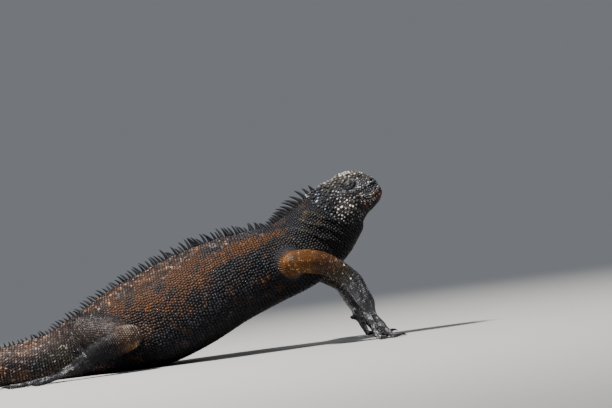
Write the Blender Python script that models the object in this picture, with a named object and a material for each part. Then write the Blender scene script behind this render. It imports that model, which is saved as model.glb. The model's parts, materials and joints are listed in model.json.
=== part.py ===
"""A marine iguana basking with its chest raised, life size, as a still display model.

The animal faces +X with its left side at +Y, and lies on the plane z = 0. Head, neck, torso and tail are
one surface carried along stations and parted by thin cuts. The legs are tubes that meet the body face to
face, and every crest spine and head scale is fused to the piece that it grows from.
"""

import math

import bpy
import numpy as np

# Between pieces that meet, in metres like every size here
GAP = 0.0003

# The tail
TAIL_LENGTH = 0.455
TAIL_ROOT_HEIGHT, TAIL_TIP_HEIGHT = 0.0375, 0.0035
TAIL_ROOT_HALF_WIDTH, TAIL_TIP_HALF_WIDTH = 0.0170, 0.0012
TAIL_SWING = math.radians(25)
TAIL_STATIONS = 10

# The head's own frame: forward along the jaws, sideways to the left, and up
HEAD_ORIGIN = np.array([0.343, 0.0, 0.138])
HEAD_PITCH = math.radians(17)
EYE_FORWARD, EYE_SIDE, EYE_UP = 0.0132, 0.0150, 0.0122
EYE_RADIUS = 0.0046
LID_HALF = (0.0076, 0.0059, 0.0060)
EYE_SLIT_LENGTH, EYE_SLIT_HEIGHT = 0.0098, 0.0026
EYE_SLIT_TILT = math.radians(10)
NOSTRIL_FORWARD, NOSTRIL_SIDE, NOSTRIL_UP = 0.0352, 0.0115, 0.0082
NOSTRIL_RADIUS = 0.0017
MOUTH_BACK, MOUTH_FRONT = 0.0165, 0.0400
MOUTH_UP, MOUTH_SAG = -0.0040, 0.0042
JAW_HINGE = ((0.0115, -0.0500), (0.0080, -0.0300), (0.0058, -0.0200), (0.0090, -0.0110))

# How finely the plain surfaces are divided
BODY_COLUMNS, TAIL_COLUMNS, LIMB_COLUMNS, DIGIT_COLUMNS, CLAW_COLUMNS = 32, 16, 14, 8, 5
UPPER_RINGS, LOWER_RINGS, END_RINGS, DIGIT_RINGS, CLAW_RINGS = 9, 10, 6, 6, 4

# Columns of a station: the highest and the lowest point of a cross-section, its half width, the share of its
# height at which it is widest, how square its upper and lower halves are, the fleshy ridge under the crest,
# and the way it faces
TOP, LOW = slice(0, 3), slice(3, 6)
HALF_WIDTH, WIDEST, UPPER_POWER, LOWER_POWER, RIDGE, YAW = range(6, 12)


def station(top_x, top_z, low_x, low_z, half_width, widest=0.45, upper=1.0, lower=0.9, ridge=0.0015):
    """One upright cross-section of the body, by its top and its bottom as seen from the side."""
    return [top_x, 0, top_z, low_x, 0, low_z, half_width, widest, upper, lower, ridge, 0]


def head_point(forward, side, up):
    """A place in the head's own frame, in the model's frame."""
    cosine, sine = math.cos(HEAD_PITCH), math.sin(HEAD_PITCH)
    return HEAD_ORIGIN + np.array([forward * cosine - up * sine, side, forward * sine + up * cosine])


def in_head(points):
    """(forward, side, up) of points in the head's own frame."""
    cosine, sine = math.cos(HEAD_PITCH), math.sin(HEAD_PITCH)
    away = points - HEAD_ORIGIN
    forward = away[..., 0] * cosine + away[..., 2] * sine
    return forward, away[..., 1], -away[..., 0] * sine + away[..., 2] * cosine


def head_station(top_forward, top_up, low_forward, low_up, half_width, widest=0.45, upper=0.95, lower=0.85):
    """One cross-section of the head, by its top and its bottom in the head's own frame."""
    top, low = head_point(top_forward, 0, top_up), head_point(low_forward, 0, low_up)
    return [*top, *low, half_width, widest, upper, lower, 0.0, 0]


def tail_stations():
    """The tail swings out to the left and back again, tapers, and lies flat from side to side at its end."""
    rows = []
    step = TAIL_LENGTH / TAIL_STATIONS
    place = np.array([-0.012, 0.0])
    for k in range(TAIL_STATIONS):
        yaw = -TAIL_SWING * math.sin(1.5 * math.pi * (k + 0.5) / TAIL_STATIONS)
        place = place - step * np.array([math.cos(yaw), math.sin(yaw)])
        left = 1 - (k + 1) / TAIL_STATIONS
        height = TAIL_TIP_HEIGHT + (TAIL_ROOT_HEIGHT - TAIL_TIP_HEIGHT) * left**0.75
        half_width = TAIL_TIP_HALF_WIDTH + (TAIL_ROOT_HALF_WIDTH - TAIL_TIP_HALF_WIDTH) * left**1.25
        row = station(place[0], height, place[0], -0.0010, half_width, 0.5, 1.0, 0.95, 0.0010 * left)
        row[1] = row[4] = place[1]
        row[YAW] = yaw
        rows.append(row)
    return rows[::-1]


TRUNK = [
    station(-0.012, 0.0375, -0.014, -0.0015, 0.0175, 0.50),
    station(0.032, 0.0445, 0.034, -0.0025, 0.0225, 0.45),
    station(0.066, 0.0610, 0.074, -0.0030, 0.0320, 0.42),
    station(0.102, 0.0800, 0.114, -0.0030, 0.0450, 0.40),
    station(0.140, 0.0955, 0.156, 0.0020, 0.0530, 0.40, 1.0, 0.8),
    station(0.177, 0.1080, 0.197, 0.0160, 0.0535, 0.42, 1.0, 0.8),
    station(0.211, 0.1160, 0.235, 0.0340, 0.0490, 0.45, 1.0, 0.85),
    station(0.242, 0.1200, 0.269, 0.0470, 0.0410, 0.48),
    station(0.266, 0.1205, 0.301, 0.0580, 0.0345, 0.50, 1.0, 0.9, 0.0030),
    station(0.283, 0.1265, 0.325, 0.0705, 0.0300, 0.50, 1.0, 0.9, 0.0040),
    station(0.297, 0.1355, 0.343, 0.0860, 0.0275, 0.50, 1.0, 0.9, 0.0040),
    station(0.310, 0.1465, 0.354, 0.1000, 0.0262, 0.48, 1.0, 0.9, 0.0025),
    station(0.323, 0.1555, 0.360, 0.1090, 0.0255, 0.46, 0.95, 0.9, 0.0010),
]
HEAD = [
    head_station(-0.0020, 0.0240, 0.0110, -0.0265, 0.0250, 0.42),
    head_station(0.0065, 0.0262, 0.0150, -0.0228, 0.0243, 0.43),
    head_station(0.0145, 0.0257, 0.0194, -0.0202, 0.0228, 0.44),
    head_station(0.0222, 0.0233, 0.0236, -0.0188, 0.0208, 0.45),
    head_station(0.0288, 0.0197, 0.0280, -0.0170, 0.0188, 0.46),
    head_station(0.0335, 0.0160, 0.0315, -0.0153, 0.0168, 0.47),
    head_station(0.0368, 0.0122, 0.0345, -0.0138, 0.0144, 0.48),
    head_station(0.0388, 0.0080, 0.0370, -0.0118, 0.0112, 0.50),
    head_station(0.0398, 0.0030, 0.0390, -0.0090, 0.0068, 0.50),
]
STATIONS = np.array(tail_stations() + TRUNK + HEAD)
TRUNK_START = TAIL_STATIONS
HEAD_START = TRUNK_START + len(TRUNK)
SNOUT = len(STATIONS) - 1
# Where the body is parted, as places in the table of stations, and how many rings each length has
CUTS = {
    "tail_end": (0.0, 3.2),
    "tail_far": (3.2, 5.8),
    "tail_middle": (5.8, 8.3),
    "tail_root": (8.3, TRUNK_START + 1.25),
    "torso": (TRUNK_START + 1.25, TRUNK_START + 7.5),
    "neck": (TRUNK_START + 7.5, HEAD_START - 1.3),
    "head": (HEAD_START - 1.3, SNOUT),
}
RINGS = {"tail_end": 8, "tail_far": 7, "tail_middle": 6, "tail_root": 7, "torso": 16, "neck": 10, "head": 21}

# Each kind of leg: the half width and half thickness of the limb from its root to its bend, and from its bend
# over the wrist or ankle (the fourth pair) to the knuckles
FORELEG = {
    "names": ("upper_arm", "forearm", "hand"),
    "upper": ((0.0175, 0.0190), (0.0160, 0.0170), (0.0140, 0.0145), (0.0116, 0.0120)),
    "lower": ((0.0120, 0.0120), (0.0125, 0.0115), (0.0112, 0.0103), (0.0108, 0.0096))
    + ((0.0114, 0.0082), (0.0126, 0.0066), (0.0130, 0.0050)),
    "spread": (44, 17, 1, -15, -40),
    "lengths": (0.0200, 0.0280, 0.0330, 0.0320, 0.0235),
    "digit_radius": 0.0030,
}
HIND_LEG = {
    "names": ("thigh", "shank", "foot"),
    "upper": ((0.0210, 0.0220), (0.0200, 0.0205), (0.0168, 0.0168), (0.0125, 0.0128)),
    "lower": ((0.0118, 0.0124), (0.0128, 0.0130), (0.0108, 0.0112), (0.0084, 0.0078))
    + ((0.0092, 0.0064), (0.0108, 0.0054), (0.0114, 0.0046)),
    "spread": (36, 15, 1, -12, -38),
    "lengths": (0.0190, 0.0300, 0.0400, 0.0480, 0.0300),
    "digit_radius": 0.0029,
}
# Each leg: its kind, the middle of its root, bend, wrist and knuckles, how far the stretch below the bend
# bows upwards, and for the digits the way they point, the side on which the first one grows, and how far
# that side is raised
LEGS = {
    "fore_right": (
        FORELEG,
        ((0.282, -0.014, 0.084), (0.287, -0.061, 0.083), (0.340, -0.055, 0.063), (0.358, -0.056, 0.025)),
        0.0080,
        (0, 1, 26),
    ),
    "fore_left": (
        FORELEG,
        ((0.282, 0.014, 0.082), (0.286, 0.062, 0.079), (0.334, 0.060, 0.056), (0.350, 0.063, 0.020)),
        0.0060,
        (6, -1, 14),
    ),
    "hind_right": (
        HIND_LEG,
        ((0.074, -0.008, 0.036), (0.122, -0.064, 0.034), (0.066, -0.072, 0.0105), (0.046, -0.074, 0.0055)),
        0.0030,
        (184, -1, 0),
    ),
    "hind_left": (
        HIND_LEG,
        ((0.074, 0.008, 0.036), (0.116, 0.066, 0.035), (0.062, 0.080, 0.0105), (0.044, 0.091, 0.0055)),
        0.0030,
        (150, 1, 0),
    ),
}
WRIST_CUT = 3.35
KNUCKLE_HALF = 0.0098
CLAW_LENGTH, CLAW_RADIUS, CLAW_ARCH = 0.0090, 0.0017, 0.0060

# The crest: where each run starts and ends in the table of stations, and how many spines it has
NUCHAL = (TRUNK_START + 8.45, HEAD_START - 1.60, 12)
DORSAL = (TRUNK_START + 0.9, TRUNK_START + 8.25, 55)
CAUDAL = (0.8, TRUNK_START + 0.82, 66)
CREST_MARKS = (0, 2, 6, TRUNK_START, TRUNK_START + 1.5, TRUNK_START + 4, TRUNK_START + 6, TRUNK_START + 8.3)
CREST_LENGTHS = (0.0022, 0.0036, 0.0048, 0.0056, 0.0070, 0.0108, 0.0118, 0.0065)
NUCHAL_LENGTHS = (0.0075, 0.0155)
NUCHAL_LEANS, CREST_LEAN = (0.20, 0.38, 0.28, -0.25), 0.16

# The head's scales: rows over the crown and how far they reach to each side, and where the jowls' rows lie
CROWN_ROWS, CROWN_REACH = 12, math.radians(56)
JOWL_TURNS = tuple(math.radians(angle) for angle in (-8, -24, -40))


def unit(vectors):
    return vectors / np.maximum(np.linalg.norm(vectors, axis=-1, keepdims=True), 1e-12)


def power(values, exponent):
    return np.sign(values) * np.abs(values) ** exponent


def hill(value, centre, spread):
    return np.exp(-(((value - centre) / spread) ** 2))


def step_up(value, middle, width):
    return 1 / (1 + np.exp(-(value - middle) / width))


def smooth_rows(table, places):
    """Each column of the table as a smooth curve through its rows (Catmull-Rom)."""
    last = len(table) - 1
    padded = np.vstack([2 * table[0] - table[1], table, 2 * table[-1] - table[-2]])
    places = np.clip(np.asarray(places, float), 0, last)
    row = np.minimum(places.astype(int), last - 1)
    part = (places - row)[:, None]
    a, b, c, d = (padded[row + k] for k in range(4))
    bend = (2 * a - 5 * b + 4 * c - d) * part**2 + (3 * b - a - 3 * c + d) * part**3
    return 0.5 * (2 * b + (c - a) * part + bend)


def even_places(first, last, count):
    """Places that part a stretch of the body into equal lengths, by the middle of its sections."""
    fine = np.linspace(first, last, 200)
    rows = smooth_rows(STATIONS, fine)
    middle = (rows[:, TOP] + rows[:, LOW]) / 2
    length = np.concatenate([[0], np.cumsum(np.linalg.norm(np.diff(middle, axis=0), axis=1))])
    return np.interp(np.linspace(0, length[-1], count), length, fine)


def body_rings(places, columns, grow=0.0):
    """(rings, middles, facing) of the body: at each place an outline, its middle and the way it faces."""
    rows = smooth_rows(STATIONS, places)
    upright = unit(rows[:, TOP] - rows[:, LOW])
    height = np.linalg.norm(rows[:, TOP] - rows[:, LOW], axis=1)
    side = np.stack([-np.sin(rows[:, YAW]), np.cos(rows[:, YAW]), np.zeros(len(rows))], axis=1)
    middle = rows[:, LOW] + (height * rows[:, WIDEST])[:, None] * upright
    turn = 2 * math.pi * np.arange(columns) / columns
    cosine, sine = np.cos(turn)[None, :], np.sin(turn)[None, :]
    exponent = np.where(sine > 0, rows[:, UPPER_POWER, None], rows[:, LOWER_POWER, None])
    rise = (height * (1 - rows[:, WIDEST]) + grow)[:, None]
    drop = (height * rows[:, WIDEST] + grow)[:, None]
    across = (rows[:, HALF_WIDTH] + grow)[:, None] * power(cosine, exponent)
    up = np.where(sine > 0, rise, drop) * power(sine, exponent)
    from_crest = (turn - math.pi / 2)[None, :] / math.radians(16)
    up = up + rows[:, RIDGE, None] * np.exp(-(from_crest**2)) * (sine > 0)
    rings = middle[:, None] + across[..., None] * side[:, None] + up[..., None] * upright[:, None]
    rings = head_relief(rings)
    rings[..., 2] = np.maximum(rings[..., 2], -grow)
    return rings, middle, np.cross(side, upright)


def mouth_up(forward):
    """The height of the mouth's line along the jaws: it sags between its corner and the front of the lips."""
    share = np.clip((forward - MOUTH_BACK) / (MOUTH_FRONT - MOUTH_BACK), 0, 1)
    return MOUTH_UP - MOUTH_SAG * np.sin(math.pi * share)


def head_relief(rings):
    """Hollows the eye sockets, and raises brows, cheeks, lips and the swollen sides of the nose."""
    forward, side, up = in_head(rings)
    socket = hill(forward, EYE_FORWARD, 0.0068) * hill(up, EYE_UP, 0.0050)
    brow = hill(forward, 0.0150, 0.0085) * hill(up, 0.0190, 0.0028)
    cheek = hill(forward, 0.0050, 0.0085) * hill(up, -0.0060, 0.0075)
    lips = step_up(forward, MOUTH_BACK, 0.0015)
    above_mouth = up - mouth_up(forward)
    upper_lip = lips * hill(above_mouth, 0.0032, 0.0024)
    lower_lip = lips * hill(above_mouth, -0.0032, 0.0024)
    nose = hill(forward, 0.0345, 0.0040) * hill(up, 0.0080, 0.0036)
    groove = hill(forward, 0.0270, 0.0060) * hill(up, 0.0032 + 0.12 * (forward - 0.0270), 0.0018)
    raised = -0.0022 * socket + 0.0016 * brow + 0.0018 * cheek + 0.0012 * upper_lip
    raised = raised + 0.0011 * lower_lip + 0.0014 * nose - 0.0011 * groove
    sideways = np.sign(side) * np.minimum(np.abs(side) / 0.004, 1)
    on_head = step_up(forward, -0.0110, 0.0015)
    rings = rings.copy()
    rings[..., 1] += raised * on_head * sideways
    return rings


def surface_mesh(name, rings, start_pole, end_pole):
    """A closed mesh object from rings of equal size, with a fan to a point at either end."""
    count, columns = rings.shape[:2]
    points = np.vstack([rings.reshape(-1, 3), start_pole, end_pole])
    start, end = count * columns, count * columns + 1
    column = np.arange(columns)
    after = (column + 1) % columns
    faces = []
    for ring in range(count - 1):
        low, high = ring * columns, (ring + 1) * columns
        faces += np.stack([low + column, low + after, high + after, high + column], axis=1).tolist()
    last = (count - 1) * columns
    faces += np.stack([np.full(columns, start), after, column], axis=1).tolist()
    faces += np.stack([np.full(columns, end), last + column, last + after], axis=1).tolist()
    mesh = bpy.data.meshes.new(name)
    mesh.from_pydata(points.tolist(), [], faces)
    made = bpy.data.objects.new(name, mesh)
    bpy.context.scene.collection.objects.link(made)
    return made


def body_piece(name, grow=0.0):
    """One length of the body between two cuts, half a gap short at each, or swollen by grow as a cutter."""
    first, last = CUTS[name]
    columns = TAIL_COLUMNS if name.startswith("tail") else BODY_COLUMNS
    rings, middle, facing = body_rings(even_places(first, last, RINGS[name]), columns, grow)
    start, end = middle[0] - 0.0022 * facing[0], middle[-1] + 0.0006 * facing[-1]
    shift = GAP / 2 - grow
    if first > 0:
        rings[0] += shift * facing[0]
        start = rings[0].mean(axis=0)
    if last < SNOUT:
        rings[-1] -= shift * facing[-1]
        end = rings[-1].mean(axis=0)
    return surface_mesh(name, rings, start, end)


def tube(name, table, rings, columns, part=None, ends=(0.0, 0.0), grow=0.0):
    """A limb or a digit, or the part of it between two places in its table: oval rings along a smooth path,
    with an edge and not a corner lowest. Each station is x, y, z, half across, half thick and the section's
    roll. An end that isn't rounded is a flat face; a rounded one takes up the given share of the length as a
    dome."""
    first, last = part or (0, len(table) - 1)
    fine = np.linspace(first, last, 120)
    path = smooth_rows(table, fine)[:, :3]
    length = np.concatenate([[0], np.cumsum(np.linalg.norm(np.diff(path, axis=0), axis=1))])
    share, shrink = dome_spacing(rings, *ends)
    places = np.interp(share * length[-1], length, fine)
    rows = smooth_rows(table, places)
    facing = unit(smooth_rows(table, places + 0.1)[:, :3] - smooth_rows(table, places - 0.1)[:, :3])
    level_side = unit(np.cross(np.array([0.0, 0.0, 1.0]), facing))
    roll = rows[:, 5, None]
    side = np.cos(roll) * level_side + np.sin(roll) * np.cross(facing, level_side)
    above = np.cross(facing, side)
    level = 0.5 if columns % 4 == 0 else 0.0
    turn = 2 * math.pi * (np.arange(columns) + level) / columns
    across = ((rows[:, 3] + grow) * shrink)[:, None] * np.cos(turn)
    thick = ((rows[:, 4] + grow) * shrink)[:, None] * np.sin(turn)
    outline = rows[:, None, :3] + across[..., None] * side[:, None] + thick[..., None] * above[:, None]
    outline[0] += (GAP * (first > 0) - grow) * facing[0]
    outline[-1] += grow * facing[-1]
    outline[..., 2] = np.maximum(outline[..., 2], -grow)
    dome = 0.12 * rows[:, 4, None] * shrink[:, None] * facing
    start = outline[0].mean(axis=0) - dome[0] * (ends[0] > 0)
    end = outline[-1].mean(axis=0) + dome[-1] * (ends[1] > 0)
    return surface_mesh(name, outline, start, end)


def dome_spacing(rings, round_start, round_end):
    """Where the rings stand along the path, and how much each is shrunk to make the domes at its ends."""
    dome = 3
    angles = np.radians(np.linspace(14, 90, dome + 1))
    share, shrink = [], []
    if round_start:
        share += (round_start * (1 - np.cos(angles[:-1]))).tolist()
        shrink += np.sin(angles[:-1]).tolist()
    plain = rings - len(share) - (dome if round_end else 0)
    share += np.linspace(round_start, 1 - round_end, plain).tolist()
    shrink += [1.0] * plain
    if round_end:
        share += (1 - round_end * (1 - np.cos(angles[:-1])))[::-1].tolist()
        shrink += np.sin(angles[:-1])[::-1].tolist()
    return np.array(share), np.array(shrink)


def remove(obj):
    mesh = obj.data
    bpy.data.objects.remove(obj)
    bpy.data.meshes.remove(mesh)


def apply_boolean(target, operation, others):
    """One Boolean of a collection of closed meshes on target, applied, with the others removed."""
    group = bpy.data.collections.new("joining")
    for other in others:
        group.objects.link(other)
    modifier = target.modifiers.new("join", "BOOLEAN")
    modifier.operation = operation
    modifier.solver = "MANIFOLD"
    modifier.operand_type = "COLLECTION"
    modifier.collection = group
    graph = bpy.context.evaluated_depsgraph_get()
    mesh = bpy.data.meshes.new_from_object(target.evaluated_get(graph))
    target.modifiers.clear()
    old = target.data
    target.data = mesh
    bpy.data.meshes.remove(old)
    mesh.name = target.name
    bpy.data.collections.remove(group)
    for other in others:
        remove(other)
    keep_largest(target)


def keep_largest(target):
    """Drops every closed surface of the mesh but the one that holds the most."""
    mesh = target.data
    mesh.calc_loop_triangles()
    points = np.array([v.co for v in mesh.vertices])
    triangles = np.array([t.vertices for t in mesh.loop_triangles])
    label = np.arange(len(points))
    settled = False
    while not settled:
        after = label.copy()
        np.minimum.at(after, triangles.ravel(), np.repeat(label[triangles].min(axis=1), 3))
        after = after[after]
        settled = (after == label).all()
        label = after
    corners = points[triangles]
    volume = np.einsum("ij,ij->i", corners[:, 0], np.cross(corners[:, 1], corners[:, 2]))
    found, where = np.unique(label[triangles[:, 0]], return_inverse=True)
    best = found[np.argmax(np.bincount(where, weights=volume))]
    kept = triangles[label[triangles[:, 0]] == best]
    used, index = np.unique(kept, return_inverse=True)
    made = bpy.data.meshes.new(target.name)
    made.from_pydata(points[used].tolist(), [], index.reshape(-1, 3).tolist())
    target.data = made
    bpy.data.meshes.remove(mesh)


def skin_at(place, turn):
    """(point, outward, forward) on the body's surface, turn being measured from the left over the top."""
    columns = 64
    rings, _, _ = body_rings(np.array([place - 0.02, place, place + 0.02]), columns)
    spot = turn / (2 * math.pi) * columns
    near, share = int(spot), spot - int(spot)
    row = rings[:, near % columns] * (1 - share) + rings[:, (near + 1) % columns] * share
    around = unit(rings[1, (near + 2) % columns] - rings[1, (near - 1) % columns])
    forward = unit(row[2] - row[0])
    return row[1], unit(np.cross(around, forward)), forward


def horn(base, direction, lean, length, across, along, sides, sunk, levels):
    """A tapered spine or conical scale that bends towards lean, its root sunk in the skin."""
    out = unit(direction)
    back = unit(lean - np.dot(out, lean) * out)
    side = np.cross(out, back)
    turns = 2 * math.pi * (np.arange(sides) + 0.5) / sides
    rings = []
    for level in range(levels + 1):
        share = level / (levels + 1)
        middle = base + out * (length * share if level else -sunk) + 0.22 * length * share**2 * back
        taper = (1 - share) ** 0.7
        flat = np.sin(turns)[:, None] * along * taper * back + np.cos(turns)[:, None] * across * taper * side
        rings.append(middle + flat)
    tip = base + out * length + 0.22 * length * back
    return surface_mesh("horn", np.array(rings)[:, ::-1], base - out * sunk, tip)


def crest_length(place):
    """How far a crest spine stands out of the skin at a place along the body."""
    if place < NUCHAL[0]:
        return float(np.interp(place, CREST_MARKS, CREST_LENGTHS))
    share = (place - NUCHAL[0]) / (NUCHAL[1] - NUCHAL[0])
    low, high = NUCHAL_LENGTHS
    return low + (high - low) * math.sin(math.pi * min(0.12 + 0.80 * share, 1)) ** 0.8


def node_at(place):
    """The length of the body that a place is on, and how far it is from the nearest cut."""
    node = next(name for name, (start, end) in CUTS.items() if start <= place <= end)
    return node, min(abs(place - end) for bounds in CUTS.values() for end in bounds)


def crest(draw):
    """{node name: spines} of the whole crest, each a little different from the next."""
    spines = {name: [] for name in CUTS}
    for run in (NUCHAL, DORSAL, CAUDAL):
        for place in even_places(*run):
            node, edge = node_at(place)
            base, outward, forward = skin_at(place, math.pi / 2)
            length = crest_length(place) * draw.uniform(0.88, 1.08)
            if run is NUCHAL:
                shape = (0.0016, 0.0021, 6, 0.0030, 2)
                lean = float(np.interp(place, np.linspace(*NUCHAL[:2], 4), NUCHAL_LEANS))
            else:
                shape = (0.0006 + 0.060 * length, 0.0008 + 0.080 * length, 4, 0.0024, 1)
                lean = CREST_LEAN
            if edge * 0.030 > shape[1] + GAP:
                spines[node].append(horn(base, outward - lean * forward, -forward, length, *shape))
    return spines


def head_scales(draw):
    """{node name: scales}: conical scales over the crown and brows, largest between the eyes, and rounder
    ones down the jowls."""
    scales = {"head": [], "neck": []}
    for number, place in enumerate(even_places(HEAD_START - 2.2, SNOUT - 2.4, CROWN_ROWS)):
        node, edge = node_at(place)
        if edge < 0.12:
            continue
        crown = hill(place, HEAD_START + 2.2, 2.6)
        for k in range(-3, 4):
            offset = (k + 0.5 * (number % 2)) / 3
            if abs(offset) > 1:
                continue
            reach = CROWN_REACH * (1 - 0.4 * step_up(place, HEAD_START + 4.6, 0.3))
            base, outward, forward = skin_at(place, math.pi / 2 + reach * offset)
            size = (0.0017 + 0.0010 * crown * (1 - 0.4 * abs(offset))) * draw.uniform(0.9, 1.1)
            height = (0.0013 + 0.0018 * crown * (1 - 0.5 * abs(offset))) * draw.uniform(0.85, 1.15)
            out = outward + 0.15 * forward
            scales[node].append(horn(base, out, -forward, height, size, size, 4, 0.0012, 1))
    for place in even_places(HEAD_START - 0.8, HEAD_START + 2.0, 4):
        for turn in JOWL_TURNS:
            for side in (turn, math.pi - turn):
                base, outward, forward = skin_at(place, side % (2 * math.pi))
                size = 0.0017 * draw.uniform(0.85, 1.15)
                scales["head"].append(horn(base, outward, -forward, 0.0011, size, size, 5, 0.0010, 0))
    return scales


def ball(name, centre, half, segments=10, rings=5):
    """An ellipsoid in the head's frame from its half sizes forward, sideways and up, its poles fore and aft."""
    angles = np.linspace(0, math.pi, rings + 2)[1:-1, None]
    turn = 2 * math.pi * np.arange(segments) / segments
    forward = -half[0] * np.cos(angles) + 0 * turn
    side = half[1] * np.sin(angles) * np.cos(turn)
    up = half[2] * np.sin(angles) * np.sin(turn)
    origin = head_point(0, 0, 0)
    ahead, left, above = (head_point(*axis) - origin for axis in np.eye(3))
    outline = centre + forward[..., None] * ahead + side[..., None] * left + up[..., None] * above
    return surface_mesh(name, outline, centre - half[0] * ahead, centre + half[0] * ahead)


def eye_slit(side):
    """A lens-shaped cutter that opens the lids, pushed outwards from inside the socket."""
    turn = 2 * math.pi * np.arange(12) / 12
    forward = EYE_SLIT_LENGTH / 2 * np.cos(turn)
    up = EYE_SLIT_HEIGHT / 2 * power(np.sin(turn), 1.3)
    cosine, sine = math.cos(EYE_SLIT_TILT), math.sin(EYE_SLIT_TILT)
    forward, up = EYE_FORWARD + forward * cosine - up * sine, EYE_UP + forward * sine + up * cosine
    rings = np.array(
        [[head_point(f, side * (EYE_SIDE + out), u) for f, u in zip(forward, up)] for out in (0.0008, 0.0100)]
    )
    if side > 0:
        rings = rings[:, ::-1]
    return surface_mesh("slit", rings, rings[0].mean(axis=0), rings[1].mean(axis=0))


def jaw_slab(widen):
    """A slab across the head that holds all below the mouth's line and in front of the jaw's hinge."""
    along = np.linspace(MOUTH_BACK - widen, 0.0500, 9)
    outline = [(forward, float(mouth_up(forward)) + widen) for forward in along]
    outline += [(0.0500, -0.0500)] + [(forward - widen, up) for forward, up in JAW_HINGE]
    rings = np.array([[head_point(f, side, u) for f, u in outline] for side in (-0.05, 0.05)])
    return surface_mesh("jaw_slab", rings, rings[0].mean(axis=0), rings[1].mean(axis=0))


def build_head(grown):
    """The head with its scales, lids and nostrils, and the lower jaw parted from it along the mouth."""
    head = body_piece("head")
    for side in (1, -1):
        grown.append(ball("lid", head_point(EYE_FORWARD, side * EYE_SIDE, EYE_UP), LID_HALF))
    apply_boolean(head, "UNION", grown)
    jaw = bpy.data.objects.new("lower_jaw", head.data.copy())
    bpy.context.scene.collection.objects.link(jaw)
    apply_boolean(jaw, "INTERSECT", [jaw_slab(0.0)])
    cutters = [jaw_slab(GAP)]
    for side, label in ((1, "left"), (-1, "right")):
        centre = head_point(EYE_FORWARD, side * EYE_SIDE, EYE_UP)
        ball("eye_" + label, centre, [EYE_RADIUS] * 3)
        cutters.append(ball("socket", centre, [EYE_RADIUS + GAP] * 3))
        cutters.append(eye_slit(side))
        nostril = head_point(NOSTRIL_FORWARD, side * NOSTRIL_SIDE, NOSTRIL_UP)
        cutters.append(ball("nostril", nostril, [NOSTRIL_RADIUS] * 3, 8, 5))
    apply_boolean(head, "DIFFERENCE", cutters)


def leg_stations(leg):
    """Stations of the upper length, root to bend, and of the lower length, from just past the bend over the
    wrist to the knuckles."""
    kind, joints, bow, (_, thumb_side, raised) = leg
    root, bend, wrist, knuckle = (np.array(joint) for joint in joints)
    upper, lower = [], []
    for k, size in enumerate(kind["upper"]):
        upper.append([*(root + (bend - root) * k / 3), *size, 0.0])
    for k, size in enumerate(kind["lower"]):
        if k < 3:
            middle = bend + (wrist - bend) * k / 3
            middle[2] += bow * math.sin(math.pi * k / 3)
            middle -= 0.9 * size[0] * unit(wrist - bend) * (k == 0)
        else:
            middle = wrist + (knuckle - wrist) * (k - 3) / 3
        roll = math.radians(raised) * thumb_side * max(k - 1, 0) / 5
        lower.append([*middle, *size, roll])
    return np.array(upper), np.array(lower)


def digit_stations(leg, number):
    """Stations of one digit, from inside the hand over its knuckle down to the floor, its heading and tip."""
    kind, joints, _, (facing, thumb_side, raised) = leg
    facing, raised = math.radians(facing), math.radians(raised)
    heading = facing + thumb_side * math.radians(kind["spread"][number])
    forward = np.array([math.cos(facing), math.sin(facing), 0])
    across = np.array([-math.sin(facing), math.cos(facing), 0]) * thumb_side * math.cos(raised)
    across[2] = math.sin(raised)
    out = np.array([math.cos(heading), math.sin(heading), 0])
    share = 1 - number / 2
    radius, length = kind["digit_radius"], kind["lengths"][number]
    knuckle = np.array(joints[3]) + across * KNUCKLE_HALF * share - forward * 0.0035 * abs(share) ** 1.5
    knuckle[2] += 0.0004
    rest = 0.72 * radius
    run = math.sqrt(max(length**2 - knuckle[2] ** 2, (0.4 * length) ** 2))
    drop = knuckle[2] - rest
    root = knuckle - 0.0075 * unit(forward + out) + np.array([0, 0, 0.25 * drop])
    rows = [[*root, 1.10 * radius, 1.05 * radius, 0.0], [*knuckle, 1.06 * radius, 1.0 * radius, 0.0]]
    for share, left, size in ((0.36, 0.50, 1.0), (0.66, 0.12, 0.92), (0.88, 0.0, 0.86), (1.0, 0.0, 0.76)):
        middle = knuckle + share * run * out
        middle[2] = rest + left * drop
        rows.append([*middle, size * radius, 0.94 * size * radius, 0.0])
    return np.array(rows), out, np.array(rows[-1][:3])


def build_claw(name, out, tip):
    """A curved claw from the end of a digit down to the floor, deeper than it is wide."""
    start = tip + 1.3 * GAP * out + np.array([0, 0, 0.0003])
    rows = []
    for share in (0.0, 0.2, 0.6, 1.0):
        middle = start + out * CLAW_LENGTH * share
        middle[2] += CLAW_ARCH * share**2 * (1 - share) - (start[2] - 0.0006) * share**3
        size = CLAW_RADIUS * (1 - share) ** 0.75 + 0.00025
        rows.append([*middle, 0.72 * size, size, 0.0])
    return tube(name, np.array(rows), CLAW_RINGS, CLAW_COLUMNS)


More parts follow.
